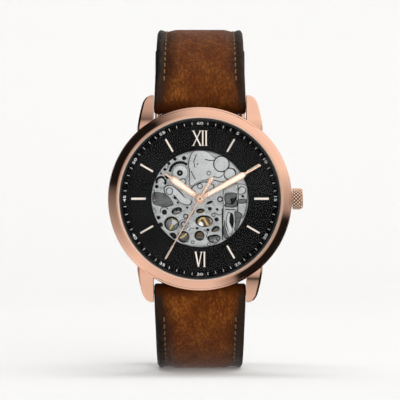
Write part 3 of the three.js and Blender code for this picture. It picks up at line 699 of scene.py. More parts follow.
def lug(left, low):
    """A lug lofted along its length from the case out to its tip."""
    outer = [(12, 15.05), (16.6, 15.05), (20, 14.5), (23.1, 13.75), (24.4, 12.9), (24.85, 11.95)]
    front = [(12, -8.7), (18.5, -8.6), (20.8, -7.9), (23, -6.5), (24.4, -5.0), (24.85, -4.3)]
    back = [(12, -1.5), (18, -1.5), (21, -0.85), (23.4, -0.95), (24.6, -1.9), (24.85, -3.0)]
    stations = [None, 17.2, 18.2, 19.2, 20.2, 21.2, 22, 22.7, 23.3, 23.8, 24.2, 24.5, 24.7, 24.85]
    verts = []
    for z in stations:
        at = 16.5 if z is None else z
        xo, yf, yb = ramp(outer, at), ramp(front, at), ramp(back, at)
        chamfer = min(0.55, (yb - yf) * 0.3)
        lean = min(0.4, (yb - yf) * 0.2)
        section = [
            (LUG_X, yb), (xo - 0.3, yb), (xo, yb - 0.4), (xo, yf + lean + chamfer), (xo - 0.4, yf + lean),
            (LUG_X, yf)
        ]
        for x, y in section:
            along = math.sqrt(CHAMBER_R**2 + 8 - x * x) if z is None else z
            verts.append((-x if left else x, y, -along if low else along))
    n = 6
    faces = [tuple(range(n)), tuple(range(len(verts) - n, len(verts)))]
    for i in range(len(stations) - 1):
        for j in range(n):
            a, b = i * n + j, i * n + (j + 1) % n
            faces.append((a, b, b + n, a + n))
    name = f"lug_{'left' if left else 'right'}_{'low' if low else 'high'}"
    return rounded(make(name, verts, faces, "rose", "case", sharp=25), 0.16, 3, 24)


def arc_profile(r0, y0, r1, y1, bulge, steps=14):
    """Points from one (radius, y) to another along an arc that bulges outwards to the front."""
    start, end = Vector((r0, y0)), Vector((r1, y1))
    along = end - start
    out = Vector((along.y, -along.x)).normalized()
    return [
        tuple(start + along * t + out * bulge * 4 * t * (1 - t))
        for t in (i / steps for i in range(steps + 1))
    ]


def build_case():
    body = [
        (20.6, -1.15), (21.6, -2.6), (21.9, -3.8), (22, -5), (22, -7.6), (21.95, -8.3), (21.7, -8.75),
        (CHAMBER_R, -8.75), (CHAMBER_R, -2.7), (17.6, -2.7), (17.6, -1.7), (18.4, -1.7), (18.4, -1.15),
    ]
    middle = rounded(
        turned("case_body", body, "rose", "case", "case_middle", "rose_gold", steps=200), 0.1, 2
    )
    lugs = [lug(left, low) for left in (False, True) for low in (False, True)]
    joined("case_middle_shell", [middle, *lugs])

    bezel = [(CHAMBER_R, -8.8), (CHAMBER_R, -11.3), (19.26, -11.4), (19.5, -11.58), (19.58, -11.6)]
    bezel += arc_profile(19.64, -11.59, 21.5, -9.95, 0.42)
    bezel += [(21.62, -9.8), (21.68, -9.7), (21.82, -9.55), (21.85, -9.3), (21.8, -8.95), (21.6, -8.8)]
    ring = turned(
        "bezel_ring", bezel, ["rose", "rose_edge_highlight"], "case", "bezel", "rose_gold", steps=240, sharp=24
    )
    # The bezel's inner edge takes the paler rose gold, so it shows bright all round: painted highlight.
    for face in ring.data.polygons:
        centre = face.center / MM
        if math.hypot(centre.x, centre.z) < 19.52:
            face.material_index = 1

    dome = [(0, -10.8), (18.7, -10.8), (18.7, -11.9), (18.62, -12.0), (18.5, -12.06)]
    dome += [(18.3 * (1 - i / 12), -12.1 - 0.19 * (1 - (1 - i / 12) ** 2)) for i in range(13)]
    turned("crystal_dome", dome, "glass", "case", "crystal", "crystal_glass", steps=160)
    turned(
        "crystal_seal", [(18.75, -11.4), (19.13, -11.4), (19.13, -10.8), (18.75, -10.8)], "rubber", "case",
        "crystal_gasket", "gasket_rubber", steps=160
    )


def build_case_back():
    base = [(15.1, -0.45), (18.85, -0.45), (18.85, -1.1), (17.4, -1.1), (17.4, -2.4), (15.1, -2.4)]
    base = turned("back_base", base, "brushed", "case", "case_back", "steel", steps=160)
    outline = []
    for i in range(6):
        middle = 60 * i + 30
        outline += circle(0, 0, 18.75, 20, middle - 55, middle - 5)
        outline += [
            (17.6 * math.cos(math.radians(middle + d)), 17.6 * math.sin(math.radians(middle + d)))
            for d in (-4, 4)
        ]
    raised = plate(
        "back_ring", [outline, circle(0, 0, 15.1, 120)], -0.6, -0.15, "brushed", "case", bevel=0.08
    )
    joined("case_back_ring", [base, raised])
    glass = [(0, -1.2), (15, -1.2), (15, -0.12), (14.88, 0), (0, 0)]
    turned("case_back_window", glass, "glass", "case", "case_back_glass", "crystal_glass", steps=120)


# ---- Dial -----------------------------------------------------------------------------------

CONE = ((17.45, -8.75), (18.8, -10.7))  # the chapter ring's sloping face, inner edge to outer edge


def on_cone(points, degrees, flip=False):
    """Maps points (sideways, outward, height) onto the sloping face, at a clock angle."""
    (r0, y0), (r1, y1) = CONE
    slope = Vector((r1 - r0, y1 - y0)).normalized()
    normal = Vector((slope.y, -slope.x))
    middle = Vector((18.0, y0 + (18.0 - r0) * (y1 - y0) / (r1 - r0)))
    turn = -1 if flip else 1
    a = math.radians(degrees)
    out = []
    for u, v, w in points:
        p = middle + slope * v * turn + normal * w
        x, z = u * turn, p.x
        out.append((x * math.cos(a) + z * math.sin(a), p.y, z * math.cos(a) - x * math.sin(a)))
    return out


def text_mesh(words, height):
    """A flat text outline as (points, faces), centred, in millimetres."""
    curve = bpy.data.curves.new("figures", "FONT")
    curve.body = words
    curve.size = 1
    curve.align_x, curve.align_y = "CENTER", "CENTER"
    curve.resolution_u = 3
    curve.offset = 0.012
    obj = bpy.data.objects.new("figures", curve)
    scene.collection.objects.link(obj)
    mesh = bpy.data.meshes.new_from_object(obj.evaluated_get(bpy.context.evaluated_depsgraph_get()))
    bpy.data.objects.remove(obj)
    points = [(v.co.x, v.co.y) for v in mesh.vertices]
    faces = [tuple(p.vertices) for p in mesh.polygons]
    bpy.data.meshes.remove(mesh)
    low, high = min(p[1] for p in points), max(p[1] for p in points)
    middle = (min(p[0] for p in points) + max(p[0] for p in points)) / 2
    k = height / (high - low)
    return [((x - middle) * k * 1.05, (y - (low + high) / 2) * k) for x, y in points], faces


def build_chapter_ring():
    (r0, y0), (r1, y1) = CONE
    ring = [(r0, y0), (r1, y1), (19.0, y1), (19.0, y0)]
    turned("chapter_slope", ring, "chapter", "case", "chapter_ring", "chapter_black", steps=240)
    verts, faces = [], []

    def take(points, its_faces):
        start = len(verts)
        verts.extend(points)
        faces.extend(tuple(start + i for i in f) for f in its_faces)

    tick = [(-0.055, -0.6, 0.02), (0.055, -0.6, 0.02), (0.055, 0.5, 0.02), (-0.055, 0.5, 0.02)]
    for minute in range(60):
        if minute % 5:
            take(on_cone(tick, minute * 6), [(0, 1, 2, 3)])
        else:
            points, its_faces = text_mesh(str(minute or 60), 1.1)
            flip = 15 < minute < 45
            take(on_cone([(x, y, 0.02) for x, y in points], minute * 6, flip), its_faces)
    make("chapter_print", verts, faces, "print", "case")


def build_dial():
    outline = [(11.55, -8.3), (18.95, -8.3), (18.95, -8.7), (11.8, -8.7), (11.62, -8.66), (11.55, -8.58)]
    turned("dial_plate", outline, "dial", "case", "dial", "dial_black", steps=240)


def bar_mesh(name, half, low, high, degrees, replaces, shift=0.0):
    """A slim applied bar with a ridge along its middle."""
    front, back, edge = -9.1, -8.72, -8.98
    c = min(half, 0.12)
    section = [(-half, back), (half, back), (half, edge), (0, front), (-half, edge)]
    verts = [(x + shift, y, z) for z in (low, high) for x, y in section]
    verts += [(shift, front, low + c), (shift, front, high - c)]
    faces = [
        (0, 1, 6, 5), (1, 2, 7, 6), (4, 0, 5, 9), (2, 10, 11, 7), (10, 4, 9, 11), (0, 4, 2, 1), (4, 10, 2),
        (5, 6, 7, 9), (7, 11, 9)
    ]
    matrix = Matrix.Rotation(math.radians(degrees), 4, "Y")
    return make(name, verts, faces, "applied", "case", replaces, "applied_rose_gold", matrix, 12)


def build_markers():
    for hour in (1, 2, 3, 4, 5, 7, 8, 9, 10, 11):
        half = 0.21 if hour % 3 else 0.25
        name = f"hour_marker_{hour:02d}"
        bar_mesh(name + "_bar", half, 12.95, 16.4, hour * 30, name)
    low, high, stroke = 12.7, 16.2, 0.34

    def slanted(bottom, top, thick=stroke):
        return [
            (bottom - thick / 2, low), (bottom + thick / 2, low), (top + thick / 2, high),
            (top - thick / 2, high)
        ]

    def serif(x, z, wide=0.62):
        return [
            (x - wide / 2, z - 0.05), (x + wide / 2, z - 0.05), (x + wide / 2, z + 0.06),
            (x - wide / 2, z + 0.06)
        ]

    def numeral(name, outlines, replaces, drop=0.0):
        pieces = [
            plate(
                f"{name}_{i}", [[(x, z - drop) for x, z in o]], -9.1, -8.75, "applied", "case", bevel=0.05
            ) for i,
            o in enumerate(outlines)
        ]
        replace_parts(pieces[0], replaces)
        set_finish(pieces[0], "applied_rose_gold")
        joined(name, pieces)

    numeral(
        "numeral_12_cross",
        [
            slanted(-1.6, 0.1, 0.24), slanted(0.1, -1.6, 0.38), serif(-1.6, low), serif(0.1, low),
            serif(-1.6, high), serif(0.1, high)
        ],
        "numeral_12_x"
    )
    numeral(
        "numeral_12_left", [slanted(0.65, 0.65), serif(0.65, low), serif(0.65, high)], "numeral_12_i_left"
    )
    numeral(
        "numeral_12_right", [slanted(1.45, 1.45), serif(1.45, low), serif(1.45, high)], "numeral_12_i_right"
    )
    drop = low + high
    numeral(
        "numeral_6_vee",
        [slanted(-0.35, -1.05, 0.38), slanted(-0.35, 0.35, 0.24), serif(-1.05, high), serif(0.35, high)],
        "numeral_6_v", drop
    )
    numeral(
        "numeral_6_upright", [slanted(1.05, 1.05), serif(1.05, low), serif(1.05, high)], "numeral_6_i", drop
    )


# ---- Hands ----------------------------------------------------------------------------------

HOUR_ANGLE, MINUTE_ANGLE, SECONDS_ANGLE = 305.5, 61, 210


def mirrored(half):
    return half + [(-w, z) for w, z in reversed(half)]


def build_hands():
    def build(name, half, hub, front, degrees, body, lume=None):
        outline = mirrored(half)
        parts = [
            plate(
                name + "_blade", [outline], front, front + 0.2, "rose_hand", body, name,
                "applied_rose_gold", turn=degrees, bevel=0.07, resolution=2
            ),
            turned(
                name + "_hub",
                [
                    (0, front - 0.06), (hub - 0.12, front - 0.06), (hub, front + 0.02), (hub, front + 0.2),
                    (0, front + 0.2)
                ],
                "rose_hand", body, steps=48
            ),
        ]
        joined(name + "_metal", parts)
        if lume:
            plate(
                name + "_lume", [mirrored(lume)], front - 0.035, front + 0.1, "lume", body, turn=degrees,
                bevel=0.03
            )

    build(
        "hour_hand", [(0.42, 0.9), (0.62, 2.0), (0.86, 7.3), (0.8, 7.9), (0.26, 8.8), (0.13, 10.9)], 1.3,
        -9.25, HOUR_ANGLE, "hour_hand", [(0.3, 2.1), (0.56, 7.4), (0.3, 8.1)]
    )
    build(
        "minute_hand", [(0.38, 0.7), (0.6, 2.1), (0.79, 11.2), (0.72, 11.8), (0.29, 12.5), (0.25, 16.5)],
        1.1, -9.75, MINUTE_ANGLE, "minute_hand", [(0.32, 2.2), (0.54, 11.3), (0.3, 12.0)]
    )
    build(
        "seconds_hand", [(0.5, -5.9), (0.3, -1.6), (0.18, 0), (0.13, 16.7)], 0.8, -10.35, SECONDS_ANGLE,
        "seconds_hand"
    )
    turned(
        "seconds_cap", [(0, -10.47), (0.22, -10.47), (0.26, -10.43), (0.26, -10.38), (0, -10.38)],
        "dark_steel", "seconds_hand", steps=24
    )


# ---- Movement, dial side --------------------------------------------------------------------

BALANCE_AT = (-6.2, -5.6)
OPENING_R = 11.45  # the dial's opening
BRIDGE_R, BRIDGE_FRONT, BRIDGE_BACK = 12.7, -3.6, -3.0
BALANCE_ROOM_R = 5.2


def polar(radius, degrees):
    a = math.radians(degrees)
    return (radius * math.cos(a), radius * math.sin(a))


BARREL_AT = polar(6.3, 125)
THIRD_AT = polar(4.05, -82)
ESCAPE_AT = polar(84 * 0.085 / 2 + 7 * 0.085 / 2, 190)
MINUTE_AT = polar(2.4, 35)
PALLET_AT = tuple(e + 0.49 * (b - e) for e, b in zip(ESCAPE_AT, BALANCE_AT))


def screw(name, at, radius, front, body, degrees, look="steel"):
    """A screw head whose slot faces the dial."""
    a = math.radians(degrees)
    slot = 0.13 * radius / 0.7
    outline = circle(0, 0, radius, 28)
    half = []
    for sign in (1, -1):
        edge = [(x, y) for x, y in outline if y * sign > slot]
        edge.sort(key=lambda p: -p[0] * sign)
        reach = math.sqrt(radius**2 - slot**2)
        half.append([(reach * sign, slot * sign), *edge, (-reach * sign, slot * sign)])
    parts = [
        plate(f"{name}_{i}", [swung(h, a)], front, front + 0.3, look, body, at=at, bevel=0.04)
        for i, h in enumerate(half)
    ]
    parts.append(
        turned(
            f"{name}_base",
            [(0, front + 0.1), (radius, front + 0.1), (radius, front + 0.3), (0, front + 0.3)], look, body,
            at=at, steps=28
        )
    )
    return joined(name, parts)


def jewel(name, at, radius, front, body, facing=1):
    """A ruby in a polished ring, with its oil cup."""

    def y(depth):
        return front + depth * facing

    ring = turned(
        f"{name}_ring",
        [(radius * 0.62, y(-0.02)), (radius, y(-0.02)), (radius, y(0.15)), (radius * 0.62, y(0.15))],
        "gold_screw", body, at=at, steps=28
    )
    stone = turned(
        f"{name}_stone",
        [
            (0.1 * radius, y(0.08)), (0.3 * radius, y(0.0)), (radius * 0.62, y(0.0)),
            (radius * 0.62, y(0.15)), (0.1 * radius, y(0.15))
        ],
        "ruby", body, at=at, steps=28
    )
    return joined(name, [ring, stone])


def wavy(points, count=6):
    """A closed outline with its corners softened by cubic interpolation."""
    out = []
    n = len(points)
    for i in range(n):
        p0, p1, p2, p3 = (Vector(points[(i + k - 1) % n]) for k in range(4))
        for j in range(count):
            t = j / count
            q = 0.5 * (
                2 * p1 + (p2 - p0) * t + (2 * p0 - 5 * p1 + 4 * p2 - p3) * t * t
                + (3 * p1 - p0 - 3 * p2 + p3) * t**3
            )
            out.append((q.x, q.y))
    return out


def shrunk(outline, amount):
    """The outline with its points moved towards their middle."""
    middle = Vector((sum(p[0] for p in outline) / len(outline), sum(p[1] for p in outline) / len(outline)))
    out = []
    for p in outline:
        away = Vector(p) - middle
        out.append(tuple(middle + away * (1 - min(amount, away.length * 0.8) / away.length)))
    return out


def shadow_gap(name, outline, front, back):
    """A black step round a plate: painted shade along its edge."""
    plate(name + "_gap", [outline], front, back, "gap", "case", bevel=0.02)


def kept_inside(outline):
    """The outline with its far points brought in to the dial's opening."""
    inside = []
    for x, z in outline:
        far = math.hypot(x, z)
        inside.append((x, z) if far < OPENING_R else (x * OPENING_R / far, z * OPENING_R / far))
    return inside


def stroke(points, width):
    """The outline of a line of the given width through some points."""
    width *= SHADE_LINE_SCALE
    left, right = [], []
    for i, p in enumerate(points):
        ahead = Vector(points[min(i + 1, len(points) - 1)]) - Vector(points[max(i - 1, 0)])
        side = Vector((-ahead.y, ahead.x)).normalized() * width / 2
        left.append(tuple(Vector(p) + side))
        right.append(tuple(Vector(p) - side))
    return left + right[::-1]


def arc_line(x, z, radius, from_degrees, to_degrees, width):
    return stroke(circle(x, z, radius, 16, from_degrees, to_degrees), width)


SHADE_LINE_SCALE = 1.4  # how much wider each line of painted shade is drawn than the width given
LEVER_STEP, BRIDGE_STEP, ARM_STEP = 0.19, 0.14, 0.23  # how far the black steps of painted shade stand out round the parts
FAN = [
    (-11.2, 1.4), (-9.6, 1.5), (-8.0, 1.0), (-6.6, -0.6), (-6.5, -1.5), (-8.0, -2.0), (-9.6, -1.8),
    (-11.2, -1.1)
]
DEEP_HOLES = [
    circle(-6.8, -5.95, 1.75), circle(-3.95, -9.1, 1.4), circle(-0.15, -8.8, 1.2),
    oval(0.97, -5.35, 2.1, 1.4), oval(-5.55, -2.9, 1.3, 0.8, 20), oval(0.05, -2.9, 0.98, 0.56, 10),
]
SMALL_HOLES = [
    (2.35, -2.4, 0.45), (4.1, -2.55, 0.3), (3.95, -4.95, 0.5), (-0.7, -7.05, 0.32), (1.85, -7.45, 0.35),
    (-8.5, -3.2, 0.62), (-9.9, -4.5, 0.45), (-9.4, -6.2, 0.55), (-7.4, 8.4, 0.38), (-8.4, 7.0, 0.36),
    (-3.8, 9.7, 0.5), (-6.0, 9.5, 0.42), (-10.35, 2.9, 0.45), (-5.9, 0.3, 0.42), (-5.3, -0.9, 0.28),
    (-9.2, -8.0, 0.5), (-7.9, 5.2, 0.5), (-3.1, -2.1, 0.25), (-9.3, 6.0, 0.25),
]
CURVED_HOLES = [
    wavy([(1.7, -9.3), (2.6, -8.7), (4.2, -8.6), (4.9, -9.4), (3.9, -10.6), (2.4, -10.4)]),
    wavy([(2.7, -7.8), (3.4, -6.6), (4.6, -6.7), (4.3, -7.7)]),
    wavy([(-7.3, -8.4), (-6.2, -8.1), (-5.6, -9.0), (-6.2, -9.6)]),
]


def build_main_plate():
    small = [circle(x, z, r, 20) for x, z, r in SMALL_HOLES]
    crescent = circle(-4.7, 6.2, 2.8, 24, 50, 175) + circle(-4.7, 6.2, 2.18, 24, 50, 175)[::-1]
    hook = circle(-9.3, 4.1, 1.35, 20, -40, 205) + circle(-9.3, 4.1, 0.8, 20, -40, 205)[::-1]
    others = [wavy(FAN), crescent, hook, circle(0, 0, 0.78, 32), oval(2.3, -0.9, 0.8, 0.3, 25)]
    bodywork = plate(
        "plate_body", [circle(0, 0, 13, 160), *DEEP_HOLES, *small, *CURVED_HOLES, *others], -8.1, -7.0,
        "nickel", "case", "main_plate", "nickel_plate", bevel=0.07
    )
    # A black sheet behind the plate shows through its small openings and stands out a little round the deep
    # ones, most at their upper left: painted shade of the recess walls.
    deep = [[(x + 0.13, z - 0.13) for x, z in shrunk(h, 0.3)] for h in DEEP_HOLES + CURVED_HOLES[:2]]
    recess_shade = plate(
        "plate_recess_shade", [circle(0, 0, 12.6, 120), *deep, circle(0, 0, 0.7, 32)], -7.85, -7.05, "gap",
        "case", bevel=0.03
    )
    pillars = []
    for degrees in (20, 85, 170, 290, 340):
        pillars.append(
            turned(
                f"pillar_{degrees}", [(0, -7.1), (0.7, -7.1), (0.7, -3.66), (0, -3.66)], "nickel", "case",
                at=polar(12, degrees), steps=24
            )
        )
    joined("main_plate_body", [bodywork, recess_shade, *pillars])
    plate("fan_spring", [shrunk(wavy(FAN), 0.12)], -7.98, -7.8, "dark_steel", "case", bevel=0.04)


def build_dial_side():
    top, under = -8.45, -8.14
    bridge = kept_inside(
        wavy(
            [
                (-2.3, 3.2), (0.2, 4.3), (2.6, 4.6), (5.2, 4.1), (8.0, 4.0), (9.0, 5.4), (8.0, 7.2),
                (6.8, 7.4), (6.7, 9.5), (5.2, 10.4), (3.6, 9.7), (1.4, 11.3), (-1.6, 11.2), (-2.7, 8.4),
                (-2.4, 6.6)
            ],
            8
        )
    )
    cover = kept_inside(
        wavy(
            [
                (5.75, -9.9), (8.3, -8.0), (8.9, -5.2), (10.6, -3.6), (11.2, 2.5), (9.0, 3.5), (5.9, 3.3),
                (5.6, -3.0)
            ],
            6
        )
    )
    window = [(6.0, 1.3), (8.8, 1.3), (8.8, -2.0), (6.0, -2.0)]
    slit = wavy([(6.5, -3.8), (7.8, -3.6), (8.0, -6.2), (7.0, -7.8), (6.2, -6.2)])
    plate(
        "barrel_bridge_plate", [bridge, circle(-0.6, 8.3, 0.16, 12)], top, under, "nickel_bright", "case",
        "barrel_bridge", "nickel_plate", bevel=0.08, resolution=2
    )
    plate(
        "keyless_plate", [cover, window, slit, circle(10.2, 0.6, 0.32, 18)], top, under, "nickel", "case",
        "keyless_cover", "nickel_plate", bevel=0.06
    )
    # A black floor under the keyless cover, seen through its window, slit and hole: painted shade.
    plate("keyless_shade_floor", [shrunk(cover, 0.3)], -8.2, -8.11, "gap", "case", bevel=0.02)
    shapes = {
        "setting_lever": (
            [(6.2, 1.1), (8.5, 1.15), (8.4, 0.2), (7.2, 0.0), (7.4, -1.0), (6.2, -0.9)], "dark_steel"
        ),
        "setting_spring": ([(6.2, -1.2), (7.8, -1.3), (8.6, -0.3), (8.6, -1.8), (6.2, -1.8)], "dark_steel"),
        "yoke_spring": (
            [(6.6, -3.6), (7.2, -3.6), (7.0, -5.4), (7.7, -7.4), (7.3, -8.4), (6.7, -7.4), (6.3, -5.4)],
            "nickel_bright"
        ),
        "yoke": (
            [(8.3, -3.2), (9.9, -3.8), (9.4, -5.4), (8.7, -7.4), (8.2, -7.2), (8.5, -5.6)], "dark_steel"
        ),
        "jumper": ([(9.3, -0.3), (10.9, -0.2), (10.9, -0.9), (9.3, -1.0), (8.9, -0.65)], "dark_steel"),
        "click": ([(9.3, 1.2), (10.5, 1.4), (10.8, 2.3), (9.8, 2.8), (9.2, 2.0)], "nickel_bright"),
        "lower_lever": ([(5.9, -5.2), (6.2, -7.6), (6.9, -9.0), (5.9, -9.3), (5.6, -7.5)], "dark_steel"),
    }
    arms = {
        "train_cover": wavy(
            [(-1.9, 2.5), (-0.4, 3.5), (1.4, 3.9), (3.2, 3.0), (2.2, 1.4), (0.4, 1.2), (-1.2, 1.3)]
        ),
        "left_arm": wavy(
            [
                (-8.4, 2.6), (-6.9, 3.1), (-5.2, 1.9), (-3.6, 0.2), (-2.2, -0.4), (-2.6, -1.4),
                (-4.6, -0.9), (-6.2, 0.9), (-8.0, 1.0)
            ]
        ),
        "lobe_high": circle(5.1, 8.3, 1.75, 40), "lobe_low": circle(7.1, 5.9, 1.3, 32),
    }
    for name, (outline, look) in shapes.items():
        shadow_gap(name, shrunk(wavy(outline), -LEVER_STEP), -8.47, -8.2)
        plate(name, [wavy(outline)], -8.52, -8.2, look, "case", bevel=0.05)
    for name, outline in {"barrel_bridge": bridge, "keyless": cover}.items():
        shadow_gap(name, kept_inside(shrunk(outline, -BRIDGE_STEP)), -8.25, -8.1)
    for name, outline in arms.items():
        lift = 0.12 if name.startswith("lobe") else 0.0
        shadow_gap(name, kept_inside(shrunk(outline, -ARM_STEP)), -8.33 - lift * 1.1, -8.1)
        plate(name, [outline], -8.38 - lift, -8.14, "nickel_bright", "case", bevel=0.07, resolution=2)
    # Black lines and rings: painted shade in the seams between parts and round sunken ones.
    lines = [
        stroke([(1.2, 9.4), (2.4, 9.1), (3.4, 9.2)], 0.16),
        stroke([(-0.9, 10.6), (-1.5, 8.8), (-1.2, 7.4)], 0.14),
        stroke([(-2.1, 6.6), (-1.6, 5.4), (-1.1, 4.6)], 0.14),
        stroke([(3.2, 5.3), (4.6, 5.0), (5.4, 5.6)], 0.13), arc_line(2.1, 6.1, 0.45, 0, 340, 0.13),
        arc_line(5.1, 8.3, 1.45, -60, 60, 0.12), stroke([(9.05, 3.2), (9.1, 0.0), (9.0, -3.2)], 0.16),
        stroke([(5.95, -2.5), (8.9, -2.7)], 0.14),
        *[
            stroke([(8.2 + 0.18 * i, 6.55 - 0.3 * i), (7.9 + 0.18 * i, 6.35 - 0.3 * i)], 0.17)
            for i in range(4)
        ],
    ]
    low_lines = [
        arc_line(4.8, -0.1, 0.66, 0, 345, 0.1), arc_line(-3.9, -6.1, 1.15, 0, 345, 0.1),
        arc_line(-3.9, -6.1, 0.7, 0, 345, 0.1), arc_line(-3.4, -4.2, 0.55, 0, 345, 0.1),
        arc_line(-8.5, -3.0, 1.0, 30, 200, 0.12), stroke([(-2.3, -4.1), (-1.6, -3.6), (-1.4, -2.6)], 0.12),
        stroke([(3.4, -3.3), (4.6, -3.9), (5.3, -3.6)], 0.12),
        stroke([(1.0, -7.4), (1.8, -8.1), (1.5, -9.2)], 0.12), arc_line(-8.9, 7.9, 1.3, -60, 40, 0.13),
        stroke([(-10.7, 0.2), (-10.9, 1.8), (-11.0, 2.4)], 0.12), arc_line(2.1, -10.9, 0.4, 0, 340, 0.1),
        arc_line(-1.7, -10.4, 0.35, 0, 340, 0.1), stroke([(-2.7, -7.6), (-2.0, -7.0), (-1.4, -7.2)], 0.12),
        stroke([(5.3, -2.3), (5.35, -6.0), (5.3, -9.8)], 0.18),
        stroke([(-6.0, 4.6), (-5.2, 4.1), (-4.8, 3.4)], 0.12),
        stroke([(-11.0, -2.2), (-10.4, -3.0), (-10.9, -3.6)], 0.12),
    ]
    high = [
        plate(f"shade_line_high_{i}", [line], -8.475, -8.4, "gap", "case", bevel=0.01, resolution=0) for i,
        line in enumerate(lines)
    ]
    low = [
        plate(f"shade_line_low_{i}", [line], -8.125, -8.05, "gap", "case", bevel=0.01, resolution=0) for i,
        line in enumerate(low_lines)
    ]
    joined("shade_lines", high + low)
    # A toothed setting wheel, seen in the round opening at the upper left, with a black hub and a black
    # toothed plate behind it: painted shade.
    wheel = plate(
        "setting_wheel", [gear(22, 1.75, 2.12), circle(0, 0, 0.4, 20)], -8.3, -8.16, "nickel_bright",
        "case", at=(-4.7, 6.2), bevel=0.03
    )
    shade = plate(
        "setting_shade", [gear(22, 1.9, 2.27), circle(0, 0, 0.4, 20)], -8.2, -8.08, "gap", "case",
        at=(-4.7, 6.2), bevel=0.02
    )
    hub = turned(
        "setting_hub", [(0.2, -8.4), (0.66, -8.4), (0.72, -8.35), (0.72, -8.1), (0.2, -8.1)], "gap", "case",
        at=(-4.8, 6.15), steps=28
    )
    joined("setting_wheel_set", [wheel, shade, hub])
    for i, (x, z, r, turn) in enumerate(
        [
            (-7.3, 1.8, 0.72, 30), (-4.1, 4.1, 0.6, 70), (9.9, 2.0, 0.45, 55), (-3.4, -4.2, 0.36, 15),
            (4.8, -0.1, 0.4, 40), (3.2, -3.9, 0.3, 60), (-3.9, -6.1, 0.42, 20), (0.0, 3.0, 0.5, 10)
        ]
    ):
        front = -8.5 if z > 0.5 else -8.2
        # Each screw sits in a black ring: painted shade round its head.
        ring = turned(
            f"screw_seat_shade_{i}",
            [(r, front + 0.03), (r + 0.17, front + 0.03), (r + 0.17, front + 0.2), (r, front + 0.2)], "gap",
            "case", at=(x, z), steps=28
        )
        joined(
            f"dial_screw_{i}",
            [screw(f"dial_screw_head_{i}", (x, z), r, front - 0.05, "case", turn, "nickel_bright"), ring]
        )
    for i, (x, z, r) in enumerate(
        [
            (-1.8, -10.4, 0.22), (-8.9, 6.1, 0.25), (3.6, -9.9, 0.25), (1.6, -1.6, 0.25),
            (-3.2, -0.6, 0.22), (2.1, -10.9, 0.25), (-10.9, -0.4, 0.2), (5.0, -7.6, 0.22),
            (-1.9, -4.8, 0.2), (0.9, -11.0, 0.3)
        ]
    ):
        turned(
            f"pin_{i}", [(0, -8.34), (r * 0.7, -8.34), (r, -8.24), (r, -8.0), (0, -8.0)], "nickel_bright",
            "case", at=(x, z), steps=20
        )


